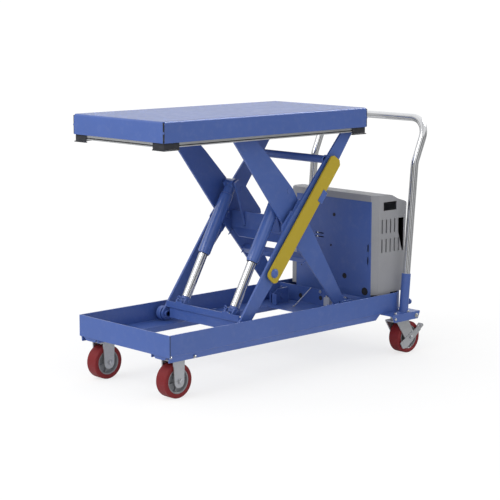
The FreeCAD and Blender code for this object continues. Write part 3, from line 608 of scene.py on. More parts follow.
def sweep(name, path, radius, material, seg=32, jitter=None, hollow=None, in_scene=False):
    """Round bar along a path in mm, or in scene metres with in_scene.

    jitter(i) scales the radius at step i, and hollow is the radius of a bore.
    """
    path = path if in_scene else [point(*p) for p in path]
    last = len(path) - 1
    tangents = [(path[min(i + 1, last)] - path[max(i - 1, 0)]).normalized()
                for i in range(last + 1)]
    start_side = axes_around(tangents[0])[0]
    bm = bmesh.new()

    def skin(size):
        side = start_side
        rings = []
        for i, (middle, tangent) in enumerate(zip(path, tangents)):
            side = (side - tangent * side.dot(tangent)).normalized()
            other = tangent.cross(side)
            r = size * (jitter(i) if jitter else 1.0)
            rings.append([bm.verts.new(middle + (side * math.cos(t) + other * math.sin(t)) * r)
                          for t in turn_angles(seg)[:-1]])
        for a, b in zip(rings, rings[1:]):
            for k in range(seg):
                j = (k + 1) % seg
                bm.faces.new((a[k], a[j], b[j], b[k]))
        return rings

    outside = skin(radius * MM)
    if hollow:
        bore = skin(hollow * MM)
        for end in (0, -1):
            for k in range(seg):
                j = (k + 1) % seg
                bm.faces.new((outside[end][k], outside[end][j], bore[end][j], bore[end][k]))
    else:
        bm.faces.new(outside[0])
        bm.faces.new(outside[-1])
    return finish_mesh(object_from_bmesh(bm, name, material))


def ripple(depth, rate):
    """Jitter of a rippled bead that runs in a circle."""
    return lambda i: 1 + depth * math.sin(i * rate)


def weld(name, start, end, body, radius=2.6):
    """Rippled fillet weld along a straight seam given in mm."""
    start, end = Vector(start), Vector(end)
    length = (end - start).length
    steps = max(6, int(length / 1.6))
    path = []
    for i in range(steps + 1):
        p = start.lerp(end, i / steps)
        wander = noise.noise(p * 0.11) * 0.5 * 0.4
        path.append(p + Vector((wander, wander, wander)))

    def jitter(i):
        taper = min(1.0, 0.55 + min(i, steps - i) * 0.16)
        rough = 0.08 * noise.noise(Vector((i * 0.37, length, 1.0)))
        return taper * (1.0 + 0.13 * math.sin(i * 1.57) + rough)

    place(sweep(name, path, radius, BLUE, seg=10, jitter=jitter), body)


def box(name, xs, ys, zs, material, bevel, seg):
    bm = bmesh.new()
    bmesh.ops.create_cube(bm, size=1.0)
    low, high = point(*map(min, (xs, ys, zs))), point(*map(max, (xs, ys, zs)))
    for v in bm.verts:
        v.co = Vector([low[i] if v.co[i] < 0 else high[i] for i in range(3)])
    bmesh.ops.bevel(bm, geom=list(bm.edges), offset=bevel * MM, segments=seg, profile=0.5,
                    affect="EDGES")
    return finish_mesh(object_from_bmesh(bm, name, material), 40)


def hex_bolt(name, position, axis, body, flats, head, washer=True, material=STEEL):
    """Hex head with a chamfered crown; position in mm on the clamped face."""
    origin = point(*position)
    base = 0.0
    if washer:
        place(lathe(name + "_washer", disc(flats * 0.78, 1.6, edge=0.3), origin, axis,
                    material, 40), body)
        base = 1.5
    r = flats / math.sqrt(3)
    top = base + head
    profile = [(0, base), (r * 0.97, base), (r, base + 0.4), (r, top - 0.9), (r * 0.9, top),
               (0, top)]
    bolt = lathe(name + "_head", profile, origin, axis, material, 6, angle=15)
    add_bevel(bolt, "b", 0.0004)
    place(bolt, body)


def refined(node, bevel, seg=2):
    """A clean copy of a CAD solid: merged faces, softened edges, smooth shading."""
    angle = 28.0
    mesh = frame["nodes"][node].data.copy()
    mesh.name = node + "_skin"
    obj = link_object(node + "_skin", mesh)
    clean_mesh(mesh, angle, merge=2e-6, merge_flats=True)
    if mesh.has_custom_normals and "custom_normal" in mesh.attributes:
        mesh.attributes.remove(mesh.attributes["custom_normal"])
    mesh.materials.clear()
    mesh.materials.append(MATERIAL_OF_SLOT[SLOT_OF_NODE[node]])
    edge = add_bevel(obj, "edge", bevel * MM, seg, angle + 4)
    edge.miter_outer = "MITER_ARC"
    edge.harden_normals = False
    edge.use_clamp_overlap = True
    add_weighted_normals(obj)
    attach(obj, BODY_OF_NODE[node])
    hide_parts(node)


# ================================================================ PLATFORM
DECK_LENGTH, DECK_HALF_WIDTH = 1083.5, 266.65
DECK_TOP, SKIRT_BOTTOM = 1042.0, 963.4
DECK_RADIUS = 8.0


def deck_shell():
    """Folded sheet: flat top, rounded edges and four skirts with open corner seams."""
    bm = bmesh.new()
    verts = {}

    def vert(x, y, drop):
        z = DECK_TOP - drop
        key = (round(x, 3), round(y, 3), round(z, 3))
        if key not in verts:
            verts[key] = bm.verts.new(point(x, y, z))
        return verts[key]

    # rows down the skirt: inset from the outer face, drop below the top
    arc = [(DECK_RADIUS * (1 - math.sin(t)), DECK_RADIUS * (1 - math.cos(t)))
           for t in quarter_angles(6)]
    rows = arc + [(0, 40.0), (0, DECK_TOP - SKIRT_BOTTOM)]
    flat_length, flat_half = DECK_LENGTH - 2 * DECK_RADIUS, DECK_HALF_WIDTH - DECK_RADIUS
    xs = [DECK_RADIUS] + [DECK_RADIUS + flat_length * i / 12 for i in range(1, 12)]
    xs.append(DECK_LENGTH - DECK_RADIUS)
    ys = [-flat_half] + [-flat_half + 2 * flat_half * i / 6 for i in range(1, 6)] + [flat_half]
    for i in range(len(xs) - 1):
        for j in range(len(ys) - 1):
            bm.faces.new((vert(xs[i], ys[j], 0), vert(xs[i + 1], ys[j], 0),
                          vert(xs[i + 1], ys[j + 1], 0), vert(xs[i], ys[j + 1], 0)))

    def skirt(stations, corner, flip):
        for k, (a, b) in enumerate(zip(rows, rows[1:])):
            for i in range(len(stations) - 1):
                if k < 6 and i in (0, len(stations) - 2):
                    continue
                quad = [corner(stations[i], *a), corner(stations[i + 1], *a),
                        corner(stations[i + 1], *b), corner(stations[i], *b)]
                bm.faces.new(quad[::-1] if flip else quad)

    for sign in (1, -1):
        skirt([5.0] + xs + [DECK_LENGTH - 5.0],
              lambda x, inset, drop: vert(x, sign * (DECK_HALF_WIDTH - inset), drop), sign < 0)
    seam_y = DECK_HALF_WIDTH - 5.2
    for sign, end_x in ((1, DECK_LENGTH), (-1, 0.0)):
        skirt([-seam_y] + ys + [seam_y],
              lambda y, inset, drop: vert(end_x - sign * inset, y, drop), sign > 0)
    bmesh.ops.recalc_face_normals(bm, faces=bm.faces)
    if bm.faces[0].normal.z < 0:
        bmesh.ops.reverse_faces(bm, faces=bm.faces)
    obj = object_from_bmesh(bm, "deck_shell", BLUE)
    sheet = obj.modifiers.new("s", "SOLIDIFY")
    sheet.thickness = 0.005
    sheet.offset = -1
    sheet.use_even_offset = True
    apply_modifiers(obj)
    clean_mesh(obj.data, 40)
    add_bevel(obj, "edge", 0.0007, angle=50)
    add_weighted_normals(obj)
    return obj


place(deck_shell(), "platform", "platform_deck")
for end_name, end_x, inward in (("front", 0.0, 1), ("rear", DECK_LENGTH, -1)):
    for side, sign in SIDES:
        name = f"deck_corner_{end_name}_{side}"
        # near-black strip in the open seam, painted shade of the gap behind it, and its tack
        # weld
        place(box(name + "_seam", (end_x + inward * 0.9, end_x + inward * 5.4),
                  (sign * 261.2, sign * 265.8), (964.5, 1036.6), PAINTED_SHADE, bevel=0.3, seg=1),
              "platform")
        # x inset, y and height of each tack station
        tack = [(end_x + inward * inset, sign * y, 1000.5 + dz) for inset, y, dz in
                ((2.2, 264.0, -4.2), (1.7, 264.4, -1.6), (1.7, 264.4, 1.6), (2.2, 264.0, 4.2))]
        place(sweep(name + "_tack", tack, 3.0, BLUE, seg=12,
                    jitter=lambda i: (0.55, 1, 1, 0.55)[i]), "platform")


def guard_ring(name, section, material):
    """Mitred rectangle under the deck edge; section rows are (outward offset, z)."""
    corners = ((10, -1, -1), (DECK_LENGTH - 10, 1, -1), (DECK_LENGTH - 10, 1, 1), (10, -1, 1))
    bm = bmesh.new()
    rings = [[bm.verts.new(point(x + x_sign * out, y_sign * 256.65 + y_sign * out, z))
              for out, z in section] for x, x_sign, y_sign in corners]
    for k in range(4):
        a, b = rings[k], rings[(k + 1) % 4]
        for i in range(len(section)):
            j = (i + 1) % len(section)
            bm.faces.new((a[i], a[j], b[j], b[i]))
    return finish_mesh(object_from_bmesh(bm, name, material), 25)


# (outward offset, z, corner radius)
GUARD_SECTION = rounded([
    (-4, 973, .4), (0, 973, .4), (0, 954.0, .6), (-2.6, 953.4, .3), (-2.6, 949.9, .3),
    (0.9, 949.5, .5), (1.4, 948.6, .6), (1.4, 946.6, .6), (0.6, 945.5, .6), (-4, 945.4, .4)])
INSERT_SECTION = [(-2.9, 953.2), (-1.5, 953.0), (-1.5, 950.3), (-2.9, 950.1)]
place(guard_ring("toe_guard_insert", INSERT_SECTION, RUBBER), "toe_guard")
place(guard_ring("toe_guard_extrusion", GUARD_SECTION, ALUMINIUM), "toe_guard",
      "toe_guard_rails")
refined("toe_guard_corner_blocks", 1.6, 3)
refined("platform_roller_tracks", 1.2)
refined("platform_pivot_lugs", 0.9)
refined("platform_pivot_pins", 0.8)
for side, sign in SIDES:
    for y in (199.5, 207.5, 228, 236):
        weld(f"weld_deck_lug_{side[0]}_{int(y)}", (996, sign * y, 1036.2),
             (1072, sign * y, 1036.2), "platform", 2.4)
    for edge, y in (("a", 196), ("b", 224)):
        weld(f"weld_track_{side[0]}_{edge}", (30, sign * y, 1036.4), (465, sign * y, 1036.4),
             "platform", 2.0)

# ============================================================== OUTER ARMS
AXLE_HOLE, PIN_HOLE, STRUT_HOLE = 10.1, 12.6, 8.1  # radii
STRUT_PIVOT = outer(-225, 0)
OUTER_END = HALF_ARM + 24.5
# (along, off, corner radius)
OUTER_OUTLINE = rounded(on_arm(outer, [
    (-OUTER_END, -24.5, 24), (-440, -26, 60), (0, -47, 60), (440, -26, 60),
    (OUTER_END, -24.5, 24), (OUTER_END, 24.5, 24), (440, 26, 60), (0, 47, 60),
    (-440, 26, 60), (-OUTER_END, 24.5, 24)]), seg=12)
DOUBLER_OUTLINE = rounded(on_arm(outer, [
    (-60, -46, 2), (-46, -58, 6), (31, -55, 2), (35, -46, 2), (88, -48, 6), (97, -38, 6),
    (92, 38, 2), (-60, 42, 2)]), seg=6)
for side, sign in SIDES:
    holes = [circle(*CENTRE, PIN_HOLE), circle(*outer(HALF_ARM, 0), AXLE_HOLE),
             circle(*outer(-HALF_ARM, 0), AXLE_HOLE)]
    if sign < 0:
        holes.append(circle(*STRUT_PIVOT, STRUT_HOLE))
    place(plate(f"outer_arm_plate_{side}", [OUTER_OUTLINE] + holes, (sign * 214, sign * 224),
                BLUE, 0.9), "outer_arms", f"outer_arm_{side}")
    place(plate(f"outer_arm_doubler_{side}", [DOUBLER_OUTLINE, circle(*CENTRE, PIN_HOLE)],
                (sign * 208, sign * 214), BLUE), "outer_arms")
    weld(f"weld_doubler_{side}", across(outer(94, -30), sign * 211),
         across(outer(92, 30), sign * 211), "outer_arms", 2.2)

# catch block of the strut: bent lug welded on the arm's edge
CATCH_OUTLINE = rounded(on_arm(outer, [
    (133.5, 20.5, 1.5), (185.5, 20.5, 1.5), (185.5, 47, 3), (133.5, 47, 3)]), seg=4)
place(plate("strut_catch_block", [CATCH_OUTLINE], (-242, -224.05), BLUE, 1.4, 3), "outer_arms")
place(plate("strut_catch_root", [CATCH_OUTLINE], (-223.95, -216), BLUE), "outer_arms")

refined("crossbeam", 0.9)
for side, sign in SIDES:
    weld(f"weld_beam_arm_{side[0]}", (ROLLER_X + 2, sign * 212.6, 243),
         (ROLLER_X + 2, sign * 212.6, 264), "outer_arms")
    for y in (117, 123, 163, 169):
        weld(f"weld_rodlug_{side[0]}_{y}", (ROLLER_X + 3, sign * y, 247.2),
             (ROLLER_X + 26, sign * y, 247.2), "outer_arms", 2.0)
weld("weld_strip_beam", (ROLLER_X + 1.2, -198, 240.4), (ROLLER_X + 1.2, 198, 240.4),
     "outer_arms", 1.6)

UPPER_TUBE = outer(298, -25.6)
place(lathe("upper_cross_tube_round", [(16, -213.9), (16, 213.9), (13, 213.9), (13, -213.9)],
            point(*across(UPPER_TUBE, 0)), (0, 1, 0), BLUE, 56, closed=True),
      "outer_arms", "upper_cross_tube")
for side, sign in SIDES:
    bead = [(UPPER_TUBE[0] + 16.5 * math.cos(t), sign * 212.6,
             UPPER_TUBE[1] + 16.5 * math.sin(t)) for t in turn_angles(48)]
    place(sweep(f"weld_upper_tube_{side[0]}", bead, 2.6, BLUE, seg=8,
                jitter=ripple(0.14, 1.6)), "outer_arms")

# name, body, CAD part, (x, z), radius, y from, y to, head (radius, y from, y to)
PINS = (
    ("roller_axle_low", "outer_arms", "roller_axles_bottom", LOW_ROLLER, 9.99, 207, 255,
     (15, 207, 213.8)),
    ("roller_axle_up", "inner_arms", "roller_axles_top", TOP_ROLLER, 9.99, 176, 224,
     (15, 176, 182.8)),
    ("centre_pin", "outer_arms", "centre_pivot_pins", CENTRE, 12.49, 176, 229.4,
     (19, 224.2, 229.4)),
    ("rod_pin", "outer_arms", "rod_end_pins", ROD_PIN, 7.99, 114, 172, None),
    ("base_pin", "base", "base_pivot_pins", BASE_PIVOT, 12.49, 164, 212, (18, 207.3, 212)))
for side, sign in SIDES:
    for pin, body, node, spot, radius, y0, y1, head in PINS:
        name = f"{pin}_{side}"
        origin, axis, length = point(*across(spot, sign * y0)), (0, sign, 0), y1 - y0
        shaft = [(0, 0), (radius - 0.8, 0), (radius, 0.8), (radius, length - 1.2),
                 (radius - 1.2, length), (0, length)]
        place(lathe(name, shaft, origin, axis, BLUE, 48), body, *if_left(sign, node))
        if head:
            profile = disc(head[0], head[2] - y0, edge=1.0, base=head[1] - y0)
            place(lathe(name + "_head", profile, origin, axis, BLUE, 48), body)
    # snap rings on the axle ends
    for spot, y, body in ((LOW_ROLLER, 252.2, "outer_arms"), (TOP_ROLLER, 221.6, "inner_arms")):
        place(lathe(f"snap_ring_{side}_{int(spot[1])}", ring(10.0, 12.6, -0.8, 0.8, edge=0.2),
                    point(*across(spot, sign * y)), (0, sign, 0), STEEL, 40, closed=True), body)

place(lathe("strut_bolt_shank", disc(7.99, 32, edge=0.5), point(*across(STRUT_PIVOT, -209)),
            (0, -1, 0), STEEL, 40), "outer_arms", "strut_pivot_bolt")
DOME = [(0, 0), (17.9, 0), (18.4, 0.5), (18.4, 1.9), (17.9, 2.4), (15.2, 2.5), (14.9, 3.0)]
DOME += [(14.9 * math.cos(t), 3.2 + 5.2 * math.sin(t)) for t in quarter_angles(9)[1:9]]
DOME.append((0, 8.4))
place(lathe("strut_bolt_dome", DOME, point(*across(STRUT_PIVOT, -240.3)), (0, -1, 0), BLUE, 56,
            angle=50), "outer_arms")
place(lathe("strut_bolt_spacer", ring(8.1, 12.9, 0, 7.6, edge=0.6),
            point(*across(STRUT_PIVOT, -224.15)), (0, -1, 0), STEEL, 48, closed=True),
      "outer_arms")

# ============================================================ SAFETY STRUT
# (along, off, corner radius); the notch from 132 to 187 takes the catch block
STRUT_OUTLINE = rounded(on_arm(outer, [
    (-256, -26, 22), (316, -26, 14), (327, -14, 8), (330, 21, 8), (316, 37, 10),
    (187, 37, 1.5), (187, 19.5, 3), (132, 19.5, 3), (132, 37, 1.5), (-246, 37, 18),
    (-258, 25, 14)]), seg=10)
place(plate("safety_strut_bar", [STRUT_OUTLINE, circle(*STRUT_PIVOT, STRUT_HOLE)],
            (-240, -232), YELLOW, 0.9, 3), "strut", "safety_strut")

# ============================================================== INNER ARMS
# (along, off, corner radius)
INNER_OUTLINE = rounded(on_arm(inner, [
    (-HALF_ARM - 27, -26.5, 26), (-430, -27, 60), (0, -36, 60), (430, -27, 60),
    (HALF_ARM + 25, -26, 24), (HALF_ARM + 25, 25, 24), (420, 60, 6), (287, 77.5, 30),
    (110, 93, 6), (-70, 72.7, 40), (-435, 28.7, 60), (-HALF_ARM - 27, 26.5, 26)]), seg=12)
PIN_CAP = [(0, 0), (10.8, 0), (11, 0.3), (11, 1.7), (10.2, 2.5), (7.2, 2.5), (6.8, 2.1),
           (0, 2.1)]
for side, sign in SIDES:
    axis = (0, sign, 0)
    holes = [circle(*CENTRE, PIN_HOLE), circle(*inner(-HALF_ARM, 0), PIN_HOLE),
             circle(*inner(HALF_ARM, 0), AXLE_HOLE)]
    place(plate(f"inner_arm_plate_{side}", [INNER_OUTLINE] + holes, (sign * 183, sign * 193),
                BLUE, 0.9), "inner_arms", f"inner_arm_{side}")
    place(lathe(f"pin_cap_{side}", PIN_CAP, point(*across(TRUNNION, sign * 193)), axis, BLUE,
                48), "inner_arms")
    place(lathe(f"bush_low_{side}", ring(12.7, 17.5, 0, 5.0, edge=0.6),
                point(*across(BASE_PIVOT, sign * 177.5)), axis, STEEL, 48, closed=True),
          "inner_arms")
    # label, along, off from, off to
    for label, along, start, end in ((163, -179, -45, -15), (67, -67, -50, -6), (2, 2, -14, 24)):
        weld(f"weld_inner_{side}_{label}", across(inner(along, start), sign * 181.6),
             across(inner(along, end), sign * 181.6), "inner_arms")
refined("lever_plates", 0.9)

CHANNEL_OUTLINE = rounded(on_arm(inner, [
    (5, 25, .6), (-55, -14, 5), (-62, -52, .6), (-67.9, -50.9, .6), (-60.43, -10.38, 9),
    (1.73, 30.03, .6)]), seg=5)
# cutter name, stations along the arm, section as (off, y)
CHANNEL_CUTS = (
    ("mitre", (-80, -45), ((-70, 80.4), (-10, 192.3), (-10, 205), (-70, 205))),
    ("slot", (-47, 11), ((-12, 96.9), (46, 96.9), (46, 107.1), (-12, 107.1))))


def channel_cutter(name, stations, section, sign):
    bm = bmesh.new()
    start, end = [[bm.verts.new(point(*across(inner(along, off), sign * y)))
                   for off, y in section] for along in stations]
    bm.faces.new(start)
    bm.faces.new(end[::-1])
    for i in range(4):
        j = (i + 1) % 4
        bm.faces.new((start[i], end[i], end[j], start[j]))
    bmesh.ops.recalc_face_normals(bm, faces=bm.faces)
    return object_from_bmesh(bm, name, BLUE)


channel = plate("torsion_channel_plate", [CHANNEL_OUTLINE], (-182.6, 182.6), BLUE, 0.0, 1)
for _, sign in SIDES:
    for kind, stations, section in CHANNEL_CUTS:
        subtract(channel, channel_cutter(f"cutter_{kind}_{sign}", stations, section, sign))
place(channel, "inner_arms", "torsion_channel")
refined("lower_cross_tube", 0.7)

# rollers with recessed faces: (radius, height, corner radius)
ROLLER_PROFILE = rounded([
    (10.1, 0, .4), (15, 0, .6), (15.5, 1.8, .6), (24.2, 1.8, .8), (25, 0, .6), (28.7, 0, .8),
    (29.5, 1.6, .8), (29.5, 22.4, .8), (28.7, 24, .8), (25, 24, .6), (24.2, 22.2, .8),
    (15.5, 22.2, .6), (15, 24, .6), (10.1, 24, .4)])
for level, spot, y in (("bottom", LOW_ROLLER, 226.0), ("top", TOP_ROLLER, 196.0)):
    for side, sign in SIDES:
        name = f"roller_{level}_{side}"
        place(lathe(name + "_tyre", ROLLER_PROFILE, point(*across(spot, sign * y)),
                    (0, sign, 0), BLUE, closed=True), name, name)

# =============================================================== CYLINDERS
RAM_Y = 143.0
RAM_AXIS = Vector((RAM_X, 0, RAM_Z))
BARREL_MOUTH = REACH - 314.0
# (radius, distance from the rod pin, corner radius)
ROD = rounded([
    (0, 18), (17.7, 18, .4), (18.5, 19.2, .4), (18.5, 262, .2), (22.4, 266, .3),
    (22.9, 268, .6), (22.9, 289, .6), (0, 290)], closed=False)
NECK = rounded([(0, 4), (17, 4, .6), (18.4, 8, 1), (18.4, 17, 1), (17.2, 18.4, .6), (0, 18.4)],
               closed=False)
BARREL = rounded([
    (18.56, BARREL_MOUTH, .3), (23.2, BARREL_MOUTH, .8), (23.8, BARREL_MOUTH + 1.6, .4),
    (23.8, BARREL_MOUTH + 5.0, .3), (26, BARREL_MOUTH + 6.0, .8), (26, REACH - 50.5, 1),
    (24.4, REACH - 49, .6), (22.4, REACH - 48.6, .3), (22.4, REACH - 9, 2),
    (20, REACH - 4, 2), (12, REACH - 2, 2), (0, REACH - 2), (0, REACH - 60),
    (23, REACH - 60, .5), (23, BARREL_MOUTH + 22, .5), (18.56, BARREL_MOUTH + 22, .3)],
    closed=False)
WIPER = rounded([(18.9, BARREL_MOUTH - 2.2, .4), (21.8, BARREL_MOUTH - 2.2, .6),
                 (21.8, BARREL_MOUTH + 0.8, .3), (18.9, BARREL_MOUTH + 0.8, .3)])
# (radius, distance across the ram, corner radius)
ROD_EYE = rounded(mirrored([(8.1, -17, .5), (14, -17, 1), (15, -15.8, 1)]))
TRUNNION_PROFILE = rounded([
    (0, -35.6), (13, -35.6, .8), (13, -27, .4), (20, -27, 1.2), (21, -26, .8), (21, 24, 1.2),
    (20, 25, .8), (13, 25, .4), (13, 38.5, .8), (0, 38.5)], closed=False)
PORT_PLUG = [(0, 5.8), (4.6, 5.8), (5.0, 6.2), (5.0, 8.6), (4.4, 9.2), (0, 9.2)]


def on_ram(distance, y):
    """Scene point at a distance from the rod pin along the ram."""
    return point(ROD_PIN[0] + RAM_X * distance, y, ROD_PIN[1] + RAM_Z * distance)


def cylinder(side, sign):
    rod, barrel = "rod_" + side, "barrel_" + side
    y = sign * RAM_Y
    foot = on_ram(0, y)
    place(lathe(f"chromed_rod_{side}", ROD, foot, RAM_AXIS, CHROME, 80, angle=30), rod,
          f"cylinder_rod_{side}")
    place(lathe(f"rod_neck_{side}", NECK, foot, RAM_AXIS, BLUE, 64), rod)
    place(lathe(f"rod_eye_{side}", ROD_EYE, foot, (0, 1, 0), BLUE, 56, closed=True), rod)
    place(lathe(f"barrel_tube_{side}", BARREL, foot, RAM_AXIS, GLOSS_BLUE, 80, angle=30,
                closed=True), barrel, f"cylinder_barrel_{side}")
    place(lathe(f"rod_wiper_{side}", WIPER, foot, RAM_AXIS, RUBBER, 64, closed=True), barrel)
    place(lathe(f"trunnion_{side}", TRUNNION_PROFILE, point(*across(TRUNNION, y)),
                (0, sign, 0), GLOSS_BLUE, 64), barrel)
    # weld bead where the head meets the tube
    u, v, _ = axes_around(RAM_AXIS)
    middle = on_ram(REACH - 48.4, y)
    bead = [middle + (u * math.cos(t) + v * math.sin(t)) * 0.0228 for t in turn_angles(60)]
    place(sweep(f"weld_head_{side}", bead, 2.0, BLUE, seg=8, jitter=ripple(0.15, 1.7),
                in_scene=True), barrel)
    # oil port and its plug near the head, on the rear side of the barrel
    rearward = Vector((RAM_Z, 0, -RAM_X))
    port = on_ram(REACH - 66, y) + rearward * 0.0245
    place(lathe(f"oil_port_{side}", disc(8.5, 6, edge=1.0), port, rearward, BLUE, 40), barrel)
    place(lathe(f"port_plug_{side}", PORT_PLUG, port, rearward, BLUE, 6, angle=15), barrel)


for side, sign in SIDES:
    cylinder(side, sign)

# ==================================================================== BASE
refined("base_frame", 1.0, 3)
refined("base_rear_pan", 1.0)
refined("front_caster_brackets", 1.2, 3)
refined("base_pivot_lugs", 1.0)
refined("outriggers", 1.2, 3)
refined("bulkhead_panel", 0.8)
for side, sign in SIDES:
    tag = side[0]
    # near-black strip beside the front rail: painted shade of the slit there
    place(box(f"base_seam_{tag}", (22.2, 24.6), (sign * 269.05, sign * 269.75), (178.5, 254.0),
              PAINTED_SHADE, bevel=0.2, seg=1), "base")
    hex_bolt(f"base_corner_bolt_{tag}", (27.5, sign * 266.2, 172.0), (0, sign, -0.4), "base",
             8.0, 3.2)
    hex_bolt(f"flange_bolt_{tag}", (147.5, sign * 265.0, 158.5), (0, sign, -0.42), "base",
             8.5, 3.4)
    for y in (168, 176, 199, 207):
        weld(f"weld_base_lug_{tag}_{y}", (998, sign * y, 181.6), (1070, sign * y, 181.6),
             "base", 2.4)
    weld(f"weld_pan_{tag}", (1106.8, sign * 60, 181.6), (1106.8, sign * 150, 181.6), "base", 2.0)
    weld(f"weld_outrigger_{tag}", (1192, sign * 263.6, 175.2), (1262, sign * 263.6, 175.2),
         "base", 2.2)
    for end_name, x, flats, head in (("rear", 1338, 12.5, 5.0), ("front", 1206, 7.5, 3.0)):
        hex_bolt(f"outrigger_bolt_{end_name}_{tag}", (x, sign * 330.0, 158.0), (0, sign, 0),
                 "base", flats, head)
    for x in (1222, 1302):
        for y in (257, 314):
            hex_bolt(f"plate_nut_{tag}_{x}_{y}", (x, sign * y, 176.0), (0, 0, 1), "base",
                     10.0, 4.5)
    for x in (52, 132):
        for y in (177, 241):
            hex_bolt(f"front_nut_{tag}_{x}_{y}", (x, sign * y, 150.0), (0, 0, -1), "base",
                     9.0, 3.0, washer=False)
weld("weld_front_rail", (24, -150, 181.5), (24, 150, 181.5), "base", 1.8)

# slanted stay rod, hose unions and valve block ahead of the cross wall
STAY_ROD = [(1009, 69.5, 184), (1040, 68.3, 205), (1075, 67.0, 229), (1107, 65.8, 251)]
WALL_X = 1107.8
FORWARD = (-1, 0, 0)
REARWARD = (1, 0, 0)
UNION = [(0, 0), (6.5, 0), (6.9, .5), (6.9, 9.5), (5.2, 10), (5.2, 18), (0, 18)]
place(sweep("stay_rod", STAY_ROD, 1.9, LIGHT_GREY, seg=16), "base")
hex_bolt("stay_rod_bolt", (1006.0, 70.0, 182.0), (0, 0, 1), "base", 7.0, 3.6)
# near-black discs on the cross wall: painted shade of its holes
for i, (y, z) in enumerate(((130, 208), (10, 214), (-110, 213))):
    place(lathe(f"wall_hole_{i}", disc(9.8, 1.0, edge=0.2), point(1108.4, y, z), FORWARD, PAINTED_SHADE,
                40), "base")
hex_bolt("wall_bolt_upper", (WALL_X, 12, 240.0), FORWARD, "base", 9.0, 4.0)
for i, (y, z) in enumerate(((-106, 238), (-141, 236), (-80, 238))):
    place(lathe(f"hose_union_{i}", UNION, point(WALL_X, y, z), FORWARD, STEEL, 6, angle=15),
          "base")
place(box("valve_block", (1082, 1107.6), (-64, -32), (190, 226), LIGHT_GREY, bevel=1.6, seg=3),
      "base")
for i, y in enumerate((-56, -40)):
    place(lathe(f"valve_cap_{i}", disc(5, 8, edge=0.8), point(1094, y, 226), (0, 0, 1), STEEL,
                28), "base")

# ----------------------------------------------------- bulkhead and housing
# painted shade of the panel's holes as near-black discs: y, z, radius
PANEL_HOLE_SHADES = ((-18, 572, 8.0), (-1, 439, 5.0), (174, 332, 3.0), (-82, 317, 12.0),
            (-198, 265, 17.0))
for i, (y, z, radius) in enumerate(PANEL_HOLE_SHADES):
    place(lathe(f"panel_grommet_{i}", disc(radius - 0.1, 1.5, edge=0.3), point(1157.8, y, z),
                FORWARD, PAINTED_SHADE, 32), "base")
weld("weld_panel_foot", (1156.6, -220, 182.0), (1156.6, 220, 182.0), "base", 2.2)
refined("battery", 2.0, 3)
refined("oil_reservoir", 2.0, 3)
refined("pump_motor", 1.0)
refined("power_unit_cover", 1.0)
refined("control_box", 1.8, 3)
BOX_FACE_X = 1376
BUTTON = [(0, 0), (10.4, 0), (11, .6), (11, 7.6), (10.2, 9.2), (7.6, 9.9), (7.0, 9.4), (0, 9.2)]
SCREW = [(0, 0), (3.4, 0), (3.4, 0.6), (2.6, 1.6), (1.0, 2.0), (0.9, 1.2), (0, 1.2)]
for button, y, material in (("up", 25, GREEN), ("down", -25, RED)):
    place(lathe(f"button_cap_{button}", BUTTON, point(1371, y, 507), REARWARD, material, 48),
          f"button_{button}", f"button_{button}")
    place(lathe(f"button_bezel_{button}", ring(11.3, 14.5, 0, 2.2, edge=0.6),
                point(BOX_FACE_X, y, 507), REARWARD, STEEL, 56, closed=True), "base")
for y in (-47, 47):
    for z in (473, 542):
        place(lathe(f"box_screw_{y}_{z}", SCREW, point(BOX_FACE_X, y, z), REARWARD, STEEL, 28),
              "base")
CABLE = [(1356, 0, 466), (1362, 0, 452), (1366, 4, 420), (1364, 8, 380), (1360, 10, 345),
         (1353, 10, 330)]
place(sweep("control_cable", smooth_path(CABLE), 4.2, RUBBER, seg=18), "base")

# ------------------------------------------------------------- push handle
HANDLE_Y = 291.0
POST_X, POST_Z = 1299.5, 173
BEND_X, BEND_Z = 1354, 800
POST_AXIS = Vector((BEND_X - POST_X, 0, BEND_Z - POST_Z)).normalized()
SOCKET_RADIUS = 19.2
CLAMP_Z = 213


def on_post(distance, y):
    return Vector((POST_X, y, POST_Z)) + POST_AXIS * distance


HANDLE = bent_path(
    [on_post(8, -HANDLE_Y), Vector((BEND_X, -HANDLE_Y, BEND_Z)), Vector((1434, -HANDLE_Y, 980)),
     Vector((1434, HANDLE_Y, 980)), Vector((BEND_X, HANDLE_Y, BEND_Z)), on_post(8, HANDLE_Y)],
    [0, 60, 85, 85, 60, 0])
place(sweep("push_handle_tube", HANDLE, 16.0, CHROME, seg=48, hollow=13.8), "base",
      "push_handle")
SOCKET = rounded([(16.1, 4.7, .4), (SOCKET_RADIUS, 4.7, .8), (SOCKET_RADIUS, 163.0, 1.2),
                  (16.1, 163.0, .6)])
KNOB = rounded([(0, 7), (9, 7, 1), (12, 9.5, 2), (12, 15, 3), (9.5, 18.4, 3), (0, 19)],
               seg=5, closed=False)
for side, sign in SIDES:
    tag = side[0]
    y = sign * HANDLE_Y
    place(lathe(f"socket_{tag}", SOCKET, point(POST_X, y, POST_Z), POST_AXIS, BLUE, 64,
                closed=True), "base", *if_left(sign, "handle_sockets"))
    bead = [on_post(4.2, y) + Vector((19.6 * math.cos(t), 19.6 * math.sin(t), 0))
            for t in turn_angles(56)]
    place(sweep(f"weld_socket_{tag}", bead, 2.6, BLUE, seg=10, jitter=ripple(0.15, 1.5)), "base")
    clamp = point(on_post(42, 0).x + SOCKET_RADIUS, y, CLAMP_Z)
    place(lathe(f"clamp_screw_{tag}", disc(4.9, 9, edge=0.4, base=0.4), clamp, REARWARD, STEEL,
                32), "base", *if_left(sign, "handle_clamp_bolts"))
    place(lathe(f"clamp_knob_{tag}", KNOB, clamp, REARWARD, BLUE, 48, angle=50), "base")
    place(lathe(f"clamp_boss_{tag}", ring(5.2, 9.5, -0.6, 4.5, edge=0.7), clamp, REARWARD, BLUE,
                40, closed=True), "base")

# ================================================================= CASTERS
WHEEL_Z = 67.0
FRONT_X, FRONT_Y = 92, 209
REAR_X, REAR_Y = 1308, 289
SWIVEL_X = 1262
